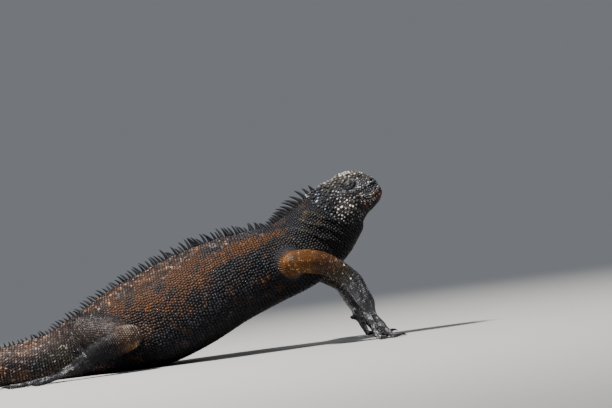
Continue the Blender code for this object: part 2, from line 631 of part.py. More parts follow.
def build_leg(label):
    """Upper leg, lower leg, hand or foot with its digits, and the claws."""
    leg = LEGS[label]
    upper_name, lower_name, end_name = (f"{label}_{name}" for name in leg[0]["names"])
    upper_rows, lower_rows = leg_stations(leg)
    upper = tube(upper_name, upper_rows, UPPER_RINGS, LIMB_COLUMNS, ends=(0.0, 0.22))
    joint = tube("joint", upper_rows, UPPER_RINGS, LIMB_COLUMNS, ends=(0.0, 0.22), grow=GAP)
    shin = tube(lower_name, lower_rows, LOWER_RINGS, LIMB_COLUMNS, (0, WRIST_CUT), (0.14, 0.0))
    end = tube(end_name, lower_rows, END_RINGS, LIMB_COLUMNS, (WRIST_CUT, len(lower_rows) - 1), (0.0, 0.2))
    apply_boolean(upper, "DIFFERENCE", [body_piece(name, GAP) for name in ("tail_root", "torso", "neck")])
    body = [body_piece(name, GAP) for name in ("tail_root", "torso", "neck")]
    apply_boolean(shin, "DIFFERENCE", [joint] + body)
    digits = []
    for number in range(5):
        rows, out, tip = digit_stations(leg, number)
        digits.append(tube("digit", rows, DIGIT_RINGS, DIGIT_COLUMNS))
        build_claw(f"{label}_claw_{number + 1}", out, tip)
    apply_boolean(end, "UNION", digits)


def finish_material(name, colour, roughness):
    """A Principled material; every piece of the animal is one of three: skin, claw or eye."""
    made = bpy.data.materials.get(name)
    if made is None:
        made = bpy.data.materials.new(name)
        made.use_nodes = True
        shader = made.node_tree.nodes["Principled BSDF"]
        shader.inputs["Base Color"].default_value = (*colour, 1)
        shader.inputs["Roughness"].default_value = roughness
        shader.inputs["Metallic"].default_value = 0.0
    return made


SKIN_COLOURS = {
    "head": (0.060, 0.058, 0.058),
    "lower_jaw": (0.085, 0.060, 0.048),
    "neck": (0.022, 0.022, 0.026),
    "torso": (0.080, 0.055, 0.042),
    "tail": (0.120, 0.075, 0.055),
    "fore": (0.230, 0.110, 0.030),
    "hind": (0.100, 0.070, 0.045),
}


def dress(obj):
    """Gives a piece its material and smooth shading."""
    if "claw" in obj.name:
        material = finish_material("claw", (0.012, 0.011, 0.012), 0.30)
    elif obj.name.startswith("eye"):
        material = finish_material("eye", (0.030, 0.018, 0.010), 0.12)
    else:
        kind = next(start for start in SKIN_COLOURS if obj.name.startswith(start))
        material = finish_material("skin_" + kind, SKIN_COLOURS[kind], 0.62)
    obj.data.materials.clear()
    obj.data.materials.append(material)
    obj.data.shade_smooth()
    obj.data.set_sharp_from_angle(angle=math.radians(40))


def centre_model(objects):
    """Moves the model so that its box stands centred over the origin."""
    lows, highs = [], []
    for obj in objects:
        points = np.array([v.co for v in obj.data.vertices])
        lows.append(points.min(axis=0))
        highs.append(points.max(axis=0))
    middle = (np.min(lows, axis=0) + np.max(highs, axis=0)) / 2
    for obj in objects:
        points = np.array([v.co for v in obj.data.vertices])
        points[:, :2] -= middle[:2]
        obj.data.vertices.foreach_set("co", points.ravel())
        obj.data.update()


def build():
    for obj in list(bpy.data.objects):
        bpy.data.objects.remove(obj)
    draw = np.random.default_rng(7)
    grown = crest(draw)
    for node, scales in head_scales(draw).items():
        grown[node] += scales
    for name in CUTS:
        if name == "head":
            build_head(grown["head"])
        else:
            piece = body_piece(name)
            if grown[name]:
                apply_boolean(piece, "UNION", grown[name])
    for label in LEGS:
        build_leg(label)
    objects = [obj for obj in bpy.data.objects if obj.type == "MESH"]
    for obj in objects:
        dress(obj)
    centre_model(objects)


build()
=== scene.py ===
# %% [markdown]
# # A marine iguana as a still display model
#
# A basking marine iguana lies on its belly with its chest raised on its forelegs. The solids of the frame
# give its pose and its size. This script puts one skin over them, sets tens of thousands of scales on that
# skin, and adds the crest, the lids, the eyes and the claws.
#
# A sculptor would model such an animal by hand. Here every surface is a formula instead, because then the
# skin, the scales and the markings all read the same few numbers and stay true to each other.
# %% The frame
import json
import math
from types import SimpleNamespace

import bpy
import numpy as np
from mathutils import Matrix, Vector

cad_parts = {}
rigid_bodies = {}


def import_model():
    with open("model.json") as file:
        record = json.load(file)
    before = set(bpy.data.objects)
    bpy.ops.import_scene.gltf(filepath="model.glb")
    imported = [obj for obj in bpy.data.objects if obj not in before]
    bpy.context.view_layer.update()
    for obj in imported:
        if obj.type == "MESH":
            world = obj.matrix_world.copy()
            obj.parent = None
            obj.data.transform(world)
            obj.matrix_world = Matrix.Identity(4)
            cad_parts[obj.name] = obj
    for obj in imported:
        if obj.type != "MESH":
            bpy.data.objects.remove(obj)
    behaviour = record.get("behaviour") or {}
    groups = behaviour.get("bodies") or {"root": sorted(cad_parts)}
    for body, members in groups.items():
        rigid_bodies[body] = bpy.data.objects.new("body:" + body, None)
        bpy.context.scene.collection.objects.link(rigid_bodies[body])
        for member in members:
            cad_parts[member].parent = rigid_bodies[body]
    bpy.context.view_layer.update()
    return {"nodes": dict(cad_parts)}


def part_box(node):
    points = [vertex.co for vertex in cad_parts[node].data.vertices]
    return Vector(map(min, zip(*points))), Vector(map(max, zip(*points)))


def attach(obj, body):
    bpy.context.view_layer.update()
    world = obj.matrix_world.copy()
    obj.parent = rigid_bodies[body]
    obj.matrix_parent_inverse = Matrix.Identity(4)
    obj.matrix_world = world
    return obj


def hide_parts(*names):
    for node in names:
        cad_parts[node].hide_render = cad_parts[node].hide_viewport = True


for obj in list(bpy.data.objects):
    bpy.data.objects.remove(obj)
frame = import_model()
NODES = sorted(frame["nodes"])

# %% [markdown]
# ## Numbers that the whole animal shares
#
# Sizes are in metres. The head has a frame of its own, because the chin is raised: forward runs along the
# jaws. The solids stand centred over the origin, so the left eye tells how far that moved them.
# %% The head's frame and the shift
HEAD_ORIGIN = np.array([0.343, 0.0, 0.138])
HEAD_PITCH = math.radians(17)
EYE_FORWARD, EYE_SIDE, EYE_UP = 0.0132, 0.0150, 0.0122
EYE_RADIUS = 0.0046
LID_HALF_LENGTH, LID_HALF_HEIGHT, LID_DEPTH = 0.0076, 0.0057, 0.0057
NOSTRIL_FORWARD, NOSTRIL_UP = 0.0352, 0.0082
FURROW_FORWARD, FURROW_UP, FURROW_CLIMB = 0.0270, 0.0032, 0.12
MOUTH_BACK, MOUTH_FRONT = 0.0165, 0.0400
MOUTH_UP, MOUTH_SAG = -0.0040, 0.0042


def head_point(forward, side, up):
    """A place in the head's frame, in the animal's frame: a turn by the pitch, then a move to the origin."""
    cosine, sine = math.cos(HEAD_PITCH), math.sin(HEAD_PITCH)
    ahead, above = forward * cosine - up * sine, forward * sine + up * cosine
    return HEAD_ORIGIN + np.stack(np.broadcast_arrays(ahead, side, above), axis=-1)


def in_head(points):
    """(forward, side, up) of points: the same turn the other way round."""
    cosine, sine = math.cos(HEAD_PITCH), math.sin(HEAD_PITCH)
    away = points - HEAD_ORIGIN
    forward = away[..., 0] * cosine + away[..., 2] * sine
    return forward, away[..., 1], -away[..., 0] * sine + away[..., 2] * cosine


low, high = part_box("eye_left")
SHIFT = (np.array(low) + np.array(high)) / 2 - head_point(EYE_FORWARD, EYE_SIDE, EYE_UP)
print("shift of the solids:", np.round(SHIFT, 5))


# %% [markdown]
# ## Small tools for arrays
#
# Everything below is computed for thousands of points at once, so the tools take whole arrays. A hill is a
# bell curve, a step a soft switch from 0 to 1, and a drift a slow random wave made of a few sines.
# %% Array tools
def unit(vectors):
    """Vectors of length 1: each one divided by its own length."""
    return vectors / np.maximum(np.linalg.norm(vectors, axis=-1, keepdims=True), 1e-12)


def power(values, exponent):
    """A power that keeps the sign of what it raises."""
    return np.sign(values) * np.abs(values) ** exponent


def hill(value, centre, spread):
    """A bell curve: 1 at the centre, about a third one spread away, nearly nought two spreads away."""
    return np.exp(-(((value - centre) / spread) ** 2))


def step_up(value, middle, width):
    """A soft switch: a half at the middle, 0 a few widths below it and 1 a few widths above."""
    return 1 / (1 + np.exp(-np.clip((value - middle) / width, -40, 40)))


def arc_length(points):
    """How far along a path each of its points lies: the running sum of the steps between them."""
    return np.concatenate([[0], np.cumsum(np.linalg.norm(np.diff(points, axis=0), axis=1))])


def drift(points, wavelength, seed):
    """A smooth random wave from about -1 to 1: the mean of eight sines in random directions."""
    draw = np.random.default_rng(seed)
    direction = unit(draw.normal(size=(8, 3))) * draw.uniform(0.7, 1.4, (8, 1)) * 2 * math.pi / wavelength
    return 0.5 * np.sin(points @ direction.T + draw.uniform(0, 2 * math.pi, 8)).sum(axis=-1) / math.sqrt(2)


def smooth_rows(table, places):
    """Each column of a table as a smooth curve through its rows (Catmull-Rom), read at many places."""
    last = len(table) - 1
    padded = np.vstack([2 * table[0] - table[1], table, 2 * table[-1] - table[-2]])
    places = np.clip(np.asarray(places, float), 0, last)
    row = np.minimum(places.astype(int), last - 1)
    part = (places - row)[..., None]
    a, b, c, d = (padded[row + k] for k in range(4))
    bend = (2 * a - 5 * b + 4 * c - d) * part**2 + (3 * b - a - 3 * c + d) * part**3
    return 0.5 * (2 * b + (c - a) * part + bend)


# %% [markdown]
# ## The body's sections
#
# Head, neck, torso and tail are one tube whose section changes all the way. Each station is one section,
# given by its top and its bottom seen from the side, its half width, how high it is widest and how square
# it is. These are the stations of the solids, so the skin lies just inside them.
# %% Stations
TOP, LOW = slice(0, 3), slice(3, 6)
HALF_WIDTH, WIDEST, UPPER_POWER, LOWER_POWER, RIDGE, YAW = range(6, 12)
TAIL_LENGTH, TAIL_STATIONS = 0.455, 10
TAIL_ROOT_HEIGHT, TAIL_TIP_HEIGHT = 0.0375, 0.0035
TAIL_ROOT_HALF_WIDTH, TAIL_TIP_HALF_WIDTH = 0.0170, 0.0012
TAIL_SWING = math.radians(25)


def station(top_x, top_z, low_x, low_z, half_width, widest=0.45, upper=1.0, lower=0.9, ridge=0.0015):
    """One section of tail, torso or neck, as a row of the table of stations."""
    return [top_x, 0, top_z, low_x, 0, low_z, half_width, widest, upper, lower, ridge, 0]


def head_station(top_forward, top_up, low_forward, low_up, half_width, widest=0.45, upper=0.95, lower=0.85):
    """One section of the head, given in the head's own frame."""
    top, low = head_point(top_forward, 0, top_up), head_point(low_forward, 0, low_up)
    return [*top, *low, half_width, widest, upper, lower, 0.0, 0]


def tail_stations():
    """The tail swings to the left and back again as a sine, and tapers as a power of the length left."""
    rows = []
    step = TAIL_LENGTH / TAIL_STATIONS
    place = np.array([-0.012, 0.0])
    for k in range(TAIL_STATIONS):
        yaw = -TAIL_SWING * math.sin(1.5 * math.pi * (k + 0.5) / TAIL_STATIONS)
        place = place - step * np.array([math.cos(yaw), math.sin(yaw)])
        left = 1 - (k + 1) / TAIL_STATIONS
        height = TAIL_TIP_HEIGHT + (TAIL_ROOT_HEIGHT - TAIL_TIP_HEIGHT) * left**0.75
        half_width = TAIL_TIP_HALF_WIDTH + (TAIL_ROOT_HALF_WIDTH - TAIL_TIP_HALF_WIDTH) * left**1.25
        row = station(place[0], height, place[0], -0.0010, half_width, 0.5, 1.0, 0.95, 0.0010 * left)
        row[1] = row[4] = place[1]
        row[YAW] = yaw
        rows.append(row)
    return rows[::-1]


TRUNK = [
    station(-0.012, 0.0375, -0.014, -0.0015, 0.0175, 0.50),
    station(0.032, 0.0445, 0.034, -0.0025, 0.0225, 0.45),
    station(0.066, 0.0610, 0.074, -0.0030, 0.0320, 0.42),
    station(0.102, 0.0800, 0.114, -0.0030, 0.0450, 0.40),
    station(0.140, 0.0955, 0.156, 0.0020, 0.0530, 0.40, 1.0, 0.8),
    station(0.177, 0.1080, 0.197, 0.0160, 0.0535, 0.42, 1.0, 0.8),
    station(0.211, 0.1160, 0.235, 0.0340, 0.0490, 0.45, 1.0, 0.85),
    station(0.242, 0.1200, 0.269, 0.0470, 0.0410, 0.48),
    station(0.266, 0.1205, 0.301, 0.0580, 0.0345, 0.50, 1.0, 0.9, 0.0030),
    station(0.283, 0.1265, 0.325, 0.0705, 0.0300, 0.50, 1.0, 0.9, 0.0040),
    station(0.297, 0.1355, 0.343, 0.0860, 0.0275, 0.50, 1.0, 0.9, 0.0040),
    station(0.310, 0.1465, 0.354, 0.1000, 0.0262, 0.48, 1.0, 0.9, 0.0025),
    station(0.323, 0.1555, 0.360, 0.1090, 0.0255, 0.46, 0.95, 0.9, 0.0010),
]
HEAD = [
    head_station(-0.0020, 0.0240, 0.0110, -0.0265, 0.0250, 0.42),
    head_station(0.0065, 0.0262, 0.0150, -0.0228, 0.0243, 0.43),
    head_station(0.0145, 0.0257, 0.0194, -0.0202, 0.0228, 0.44),
    head_station(0.0222, 0.0233, 0.0236, -0.0188, 0.0208, 0.45),
    head_station(0.0288, 0.0197, 0.0280, -0.0170, 0.0188, 0.46),
    head_station(0.0335, 0.0160, 0.0315, -0.0153, 0.0168, 0.47),
    head_station(0.0368, 0.0122, 0.0345, -0.0138, 0.0144, 0.48),
    head_station(0.0388, 0.0080, 0.0370, -0.0118, 0.0112, 0.50),
    head_station(0.0398, 0.0030, 0.0390, -0.0090, 0.0068, 0.50),
]
STATIONS = np.array(tail_stations() + TRUNK + HEAD)
TRUNK_START = TAIL_STATIONS
HEAD_START = TRUNK_START + len(TRUNK)
SNOUT = len(STATIONS) - 1
print("stations:", len(STATIONS), "trunk from", TRUNK_START, "head from", HEAD_START)


# %% [markdown]
# ## Folds and features as heights
#
# Real skin hangs in folds where it has slack: oblique ones on the neck, hanging ones along the flank, fine
# ones in the armpit. On the head the bones and the lips show. Both are sculpted as heights over the plain
# section, so that scales laid on the same surface later follow every fold.
# %% Relief of the head
def mouth_up(forward):
    """The height of the mouth's line: level, with half a sine of sag between its corner and the snout."""
    share = np.clip((forward - MOUTH_BACK) / (MOUTH_FRONT - MOUTH_BACK), 0, 1)
    return MOUTH_UP - MOUTH_SAG * np.sin(math.pi * share)


def furrow_up(forward):
    """The height of the furrow over the upper lip: a line that climbs a little towards the snout."""
    return FURROW_UP + FURROW_CLIMB * (forward - FURROW_FORWARD)


def eye_reach(forward, up):
    """How far a place lies from the eye, in half sizes of the lids: 1 all along their oval edge."""
    return np.hypot((forward - EYE_FORWARD) / LID_HALF_LENGTH, (up - EYE_UP) / LID_HALF_HEIGHT)


def nostril_reach(forward, up):
    """How far a place lies from the middle of the nostril, seen from the side."""
    return np.hypot(forward - NOSTRIL_FORWARD, up - NOSTRIL_UP)


def head_relief(points):
    """How far the sides of the head stand out: hills for brow, cheek, lips and nose, and hollows for the
    eye socket, the furrow over the upper lip, the mouth and the nostrils."""
    forward, side, up = in_head(points)

    def form(height, at_forward, length, at_up, depth):
        """An oval hill on the side of the head, or a hollow where the height is below nought."""
        return height * hill(forward, at_forward, length) * hill(up, at_up, depth)

    from_eye, from_nostril = eye_reach(forward, up), nostril_reach(forward, up)
    raised = form(-0.0022, EYE_FORWARD, 0.0068, EYE_UP, 0.0050)
    raised -= 0.0036 * hill(from_eye, 0.0, 0.62)
    rims = 0.0007 * hill(from_eye, 1.32, 0.15) + 0.0005 * hill(from_eye, 1.75, 0.14)
    brow, cheek = form(0.0016, 0.0150, 0.0085, 0.0190, 0.0028), form(0.0018, 0.0050, 0.0085, -0.0060, 0.0075)
    raised = raised + rims + brow + cheek
    lips = step_up(forward, MOUTH_BACK, 0.0012)
    above_mouth = up - mouth_up(forward)
    upper_lip, lower_lip = hill(above_mouth, 0.0032, 0.0022), hill(above_mouth, -0.0030, 0.0020)
    raised += lips * (0.0012 * upper_lip + 0.0011 * lower_lip)
    raised -= lips * 0.0011 * hill(above_mouth, 0.0, 0.00055)
    raised += form(0.0014, 0.0345, 0.0040, 0.0080, 0.0036)
    raised -= 0.0014 * hill(forward, 0.0265, 0.0068) * hill(up, furrow_up(forward), 0.0011)
    raised += 0.0006 * hill(from_nostril, 0.0023, 0.0006) - 0.0034 * hill(from_nostril, 0.0, 0.0012)
    raised += form(-0.0007, 0.0010, 0.0030, 0.0085, 0.0025)
    sideways = np.sign(side) * np.minimum(np.abs(side) / 0.004, 1)
    return raised * step_up(forward, -0.0110, 0.0015) * sideways


# %% Folds of neck and body
def folds(place, turn):
    """The height of the skin's folds: sharp-crested waves, each kept to its own region by hills."""
    from_side = np.abs(np.arcsin(np.clip(np.cos(turn), -1, 1)))
    level = np.sin(turn)
    trunk = place - TRUNK_START
    wander = 0.35 * np.sin(3.1 * trunk + 2.0 * level)
    wander = wander + 0.22 * np.sin(7.3 * trunk - 3.0 * level + np.cos(turn))
    neck = hill(trunk, 10.1, 1.5) * step_up(from_side, 0.35, 0.15) * hill(level, 0.15, 0.75)
    neck_wave = 1 - np.abs(np.sin(math.pi * (1.55 * trunk + 1.25 * level) + wander))
    flank = hill(trunk, 5.2, 2.1) * hill(level, -0.25, 0.55) * step_up(from_side, 0.3, 0.15)
    flank_wave = 1 - np.abs(np.sin(math.pi * (1.9 * trunk + 0.6 * level) + 1.6 * wander))
    hanging = hill(trunk, 5.4, 2.0) * hill(level, -0.62, 0.16)
    hip = hill(trunk, 2.6, 0.9) * hill(level, -0.2, 0.5) * step_up(from_side, 0.3, 0.15)
    hip_wave = 1 - np.abs(np.sin(math.pi * (1.5 * trunk - 1.4 * level) + wander))
    raised = 0.0027 * neck * (neck_wave**1.5 - 0.35) + 0.0021 * flank * (flank_wave**1.6 - 0.35)
    return raised + 0.0016 * hanging * (1 + 0.5 * wander) + 0.0012 * hip * (hip_wave**1.6 - 0.35)


# %% [markdown]
# ## The body's surface
#
# A point of the body is named by two numbers: its place along the stations and its turn round the section,
# from the left side over the crest. The same formula makes the skin's grid and, later, the root of each
# scale.
# %% Body surface
COAT_DEPTH = 0.0004


def body_frame(place):
    """(rows, height, middle, side, upright) of the sections at many places."""
    rows = smooth_rows(STATIONS, place)
    upright = unit(rows[..., TOP] - rows[..., LOW])
    height = np.linalg.norm(rows[..., TOP] - rows[..., LOW], axis=-1)
    side = np.stack([-np.sin(rows[..., YAW]), np.cos(rows[..., YAW]), 0 * height], axis=-1)
    middle = rows[..., LOW] + (height * rows[..., WIDEST])[..., None] * upright
    return rows, height, middle, side, upright


def body_points(place, turn):
    """Points of the body: a superellipse, half width by half height, with its own power above and below,
    plus the fleshy ridge under the crest, the folds and the features of the head, less the depth of the
    scales."""
    place, turn = np.broadcast_arrays(place, turn)
    rows, height, middle, side, upright = body_frame(place)
    cosine, sine = np.cos(turn), np.sin(turn)
    over = sine > 0
    exponent = np.where(over, rows[..., UPPER_POWER], rows[..., LOWER_POWER])
    raised = folds(place, turn) - COAT_DEPTH
    half = height * np.where(over, 1 - rows[..., WIDEST], rows[..., WIDEST]) + raised
    across = (rows[..., HALF_WIDTH] + raised) * power(cosine, exponent)
    from_crest = (turn - math.pi / 2) / math.radians(16)
    up = half * power(sine, exponent) + rows[..., RIDGE] * np.exp(-(from_crest**2)) * over
    points = middle + across[..., None] * side + up[..., None] * upright
    points[..., 1] += head_relief(points)
    points[..., 2] = np.maximum(points[..., 2], COAT_DEPTH)
    return points


def even_places(first, last, count):
    """Places that part a stretch of the body into equal lengths."""
    fine = np.linspace(first, last, 400)
    length = arc_length(body_frame(fine)[2])
    return np.interp(np.linspace(0, length[-1], count), length, fine)


# %% [markdown]
# ## From grids to meshes
#
# A grid of rings becomes a closed mesh when each ring is joined to the next and both ends run to a point.
# Where a fine stretch meets a coarse one, a band of triangles joins two columns to one.
# %% Mesh tools
def ring_faces(counts):
    """Triangles between rings of the given sizes, where a ring is as large as the one before it, half of it
    or twice of it, and the fans at both ends. Points lie ring after ring, with the two poles last."""
    starts = np.concatenate([[0], np.cumsum(counts)])
    faces = []
    for ring, (near, far) in enumerate(zip(counts[:-1], counts[1:])):
        low, high = starts[ring], starts[ring + 1]
        small = np.arange(min(near, far))
        after = (small + 1) % len(small)
        if near == far:
            faces.append(np.stack([low + small, low + after, high + after], axis=1))
            faces.append(np.stack([low + small, high + after, high + small], axis=1))
            continue
        fine, coarse = (low, high) if near > far else (high, low)
        first = fine + 2 * small
        second, third = first + 1, fine + (2 * small + 2) % (2 * len(small))
        band = [(first, second, coarse + small), (second, coarse + after, coarse + small)]
        band.append((second, third, coarse + after))
        turned = [np.stack(corners, axis=1) for corners in band]
        faces += turned if near > far else [part[:, ::-1] for part in turned]
    total = starts[-1]
    first_ring, last_ring = np.arange(counts[0]), starts[-2] + np.arange(counts[-1])
    faces.append(np.stack([np.full(counts[0], total), np.roll(first_ring, -1), first_ring], axis=1))
    faces.append(np.stack([np.full(counts[-1], total + 1), last_ring, np.roll(last_ring, -1)], axis=1))
    return np.vstack(faces)


def make_piece(name, points, faces, smooth=True):
    """A mesh object from whole arrays of points, in the animal's frame, and triangles."""
    mesh = bpy.data.meshes.new(name)
    mesh.vertices.add(len(points))
    mesh.vertices.foreach_set("co", (points + SHIFT).astype(np.float32).ravel())
    mesh.loops.add(faces.size)
    mesh.loops.foreach_set("vertex_index", faces.astype(np.int32).ravel())
    mesh.polygons.add(len(faces))
    mesh.polygons.foreach_set("loop_start", np.arange(0, faces.size, 3, dtype=np.int32))
    mesh.polygons.foreach_set("use_smooth", np.full(len(faces), smooth))
    mesh.update(calc_edges=True)
    made = bpy.data.objects.new(name, mesh)
    bpy.context.scene.collection.objects.link(made)
    return made


def tube_piece(name, rings):
    """A closed mesh from a list of rings, each an array of points, that may double or halve in size."""
    poles = [rings[0].mean(axis=0), rings[-1].mean(axis=0)]
    return make_piece(name, np.vstack(rings + [poles]), ring_faces([len(ring) for ring in rings]))


def mesh_arrays(obj):
    """(points, triangles) of an object's mesh, in the animal's frame."""
    mesh = obj.data
    points = np.empty(len(mesh.vertices) * 3, np.float32)
    mesh.vertices.foreach_get("co", points)
    mesh.calc_loop_triangles()
    triangles = np.empty(len(mesh.loop_triangles) * 3, np.int32)
    mesh.loop_triangles.foreach_get("vertices", triangles)
    return points.reshape(-1, 3).astype(float) - SHIFT, triangles.reshape(-1, 3)


# %% [markdown]
# ## The trunk as one grid
#
# The head needs about half a millimetre between points for its lips and nostrils, the torso two, and the
# tail is thin. So the grid has three stretches, each with half the columns of the next.
# %% Body grid
COLUMNS = {"tail": 56, "trunk": 112, "head": 224}
BODY_RINGS = {"tail": 180, "trunk": 178, "head": 124}
TAIL_TOP, NECK_TOP = TRUNK_START + 0.4, HEAD_START - 1.3


def head_turns(turn, place):
    """Columns crowd towards the sides of the head, where eye, mouth and nostril lie: each turn gives way by
    half of its doubled sine, more and more from the neck on."""
    share = np.clip((place - NECK_TOP) / 1.5, 0, 1)
    return turn - 0.25 * share * np.sin(2 * turn)


def body_rings():
    """The rings of the whole body, tail first."""
    rings = []
    bounds = {"tail": (0.0, TAIL_TOP), "trunk": (TAIL_TOP, NECK_TOP), "head": (NECK_TOP, SNOUT)}
    for name, (first, last) in bounds.items():
        places = even_places(first, last, BODY_RINGS[name] + 1)[:-1]
        if name == "head":
            places = np.append(places, SNOUT)
        turn = 2 * math.pi * np.arange(COLUMNS[name]) / COLUMNS[name]
        turns = head_turns(turn[None, :], places[:, None])
        rings += list(body_points(places[:, None], turns))
    snout = rings[-1]
    middle, ahead = snout.mean(axis=0), unit(snout.mean(axis=0) - rings[-8].mean(axis=0))
    for shrink in (0.96, 0.86, 0.70, 0.48, 0.24):
        rings.append(middle + (snout - middle) * shrink + 0.0016 * (1 - shrink**2) * ahead)
    return rings


skin_parts = [tube_piece("body", body_rings())]
print("body:", len(skin_parts[0].data.polygons), "triangles")

# %% [markdown]
# ## The legs' sizes
#
# Each leg has an upper length that ends at the elbow or knee, a lower one that runs over the wrist or ankle
# to the knuckles, and five digits. The joints' places are those of the solids.
# %% Leg tables
FORELEG = {
    "upper": ((0.0175, 0.0190), (0.0160, 0.0170), (0.0140, 0.0145), (0.0116, 0.0120)),
    "lower": ((0.0120, 0.0120), (0.0125, 0.0115), (0.0112, 0.0103), (0.0108, 0.0096))
    + ((0.0114, 0.0082), (0.0126, 0.0066), (0.0130, 0.0050)),
    "spread": (44, 17, 1, -15, -40),
    "lengths": (0.0200, 0.0280, 0.0330, 0.0320, 0.0235),
    "digit_radius": 0.0030,
}
HIND_LEG = {
    "upper": ((0.0210, 0.0220), (0.0200, 0.0205), (0.0168, 0.0168), (0.0125, 0.0128)),
    "lower": ((0.0118, 0.0124), (0.0128, 0.0130), (0.0108, 0.0112), (0.0084, 0.0078))
    + ((0.0092, 0.0064), (0.0108, 0.0054), (0.0114, 0.0046)),
    "spread": (36, 15, 1, -12, -38),
    "lengths": (0.0190, 0.0300, 0.0400, 0.0480, 0.0300),
    "digit_radius": 0.0029,
}
# Each leg: its kind, the places of root, bend, wrist and knuckles, how far its lower length bows upwards, and
# for the hand or foot the way it faces, the thumb's side and how far that side is raised (in degrees).
LEGS = {
    "fore_right": (
        FORELEG,
        ((0.282, -0.014, 0.084), (0.287, -0.061, 0.083), (0.340, -0.055, 0.063), (0.358, -0.056, 0.025)),
        0.0080,
        (0, 1, 26),
    ),
    "fore_left": (
        FORELEG,
        ((0.282, 0.014, 0.082), (0.286, 0.062, 0.079), (0.334, 0.060, 0.056), (0.350, 0.063, 0.020)),
        0.0060,
        (6, -1, 14),
    ),
    "hind_right": (
        HIND_LEG,
        ((0.074, -0.008, 0.036), (0.122, -0.064, 0.034), (0.066, -0.072, 0.0105), (0.046, -0.074, 0.0055)),
        0.0030,
        (184, -1, 0),
    ),
    "hind_left": (
        HIND_LEG,
        ((0.074, 0.008, 0.036), (0.116, 0.066, 0.035), (0.062, 0.080, 0.0105), (0.044, 0.091, 0.0055)),
        0.0030,
        (150, 1, 0),
    ),
}
KNUCKLE_HALF = 0.0098
ACROSS, THICK, ROLL = 3, 4, 5


# %% Stations of legs and digits
def leg_stations(leg):
    """Stations (x, y, z, half across, half thick, roll) of the upper and of the lower length of a leg."""
    kind, joints, bow, (_, thumb_side, raised) = leg
    root, bend, wrist, knuckle = (np.array(joint) for joint in joints)
    upper = [[*(root + (bend - root) * k / 3), *size, 0.0] for k, size in enumerate(kind["upper"])]
    lower = []
    for k, size in enumerate(kind["lower"]):
        if k < 3:
            middle = bend + (wrist - bend) * k / 3
            middle[2] += bow * math.sin(math.pi * k / 3)
            middle -= 0.9 * size[0] * unit(wrist - bend) * (k == 0)
        else:
            middle = wrist + (knuckle - wrist) * (k - 3) / 3
        roll = math.radians(raised) * thumb_side * max(k - 1, 0) / 5
        lower.append([*middle, *size, roll])
    return np.array(upper), np.array(lower)


def digit_stations(leg, number):
    """Stations of one digit from inside the hand down to the floor, and the way that it points."""
    kind, joints, _, (facing, thumb_side, raised) = leg
    facing, raised = math.radians(facing), math.radians(raised)
    heading = facing + thumb_side * math.radians(kind["spread"][number])
    forward = np.array([math.cos(facing), math.sin(facing), 0])
    across = np.array([-math.sin(facing), math.cos(facing), 0]) * thumb_side * math.cos(raised)
    across[2] = math.sin(raised)
    out = np.array([math.cos(heading), math.sin(heading), 0])
    share = 1 - number / 2
    radius, length = kind["digit_radius"], kind["lengths"][number]
    knuckle = np.array(joints[3]) + across * KNUCKLE_HALF * share - forward * 0.0035 * abs(share) ** 1.5
    knuckle[2] += 0.0004
    rest = 0.72 * radius
    run = math.sqrt(max(length**2 - knuckle[2] ** 2, (0.4 * length) ** 2))
    drop = knuckle[2] - rest
    root = knuckle - 0.0075 * unit(forward + out) + np.array([0, 0, 0.25 * drop])
    rows = [[*root, 1.10 * radius, 1.05 * radius, 0.0], [*knuckle, 1.06 * radius, 1.0 * radius, 0.0]]
    for share, left, size in ((0.36, 0.50, 1.0), (0.66, 0.12, 0.92), (0.88, 0.0, 0.86), (1.0, 0.0, 0.76)):
        middle = knuckle + share * run * out
        middle[2] = rest + left * drop
        rows.append([*middle, size * radius, 0.94 * size * radius, 0.0])
    return np.array(rows), out


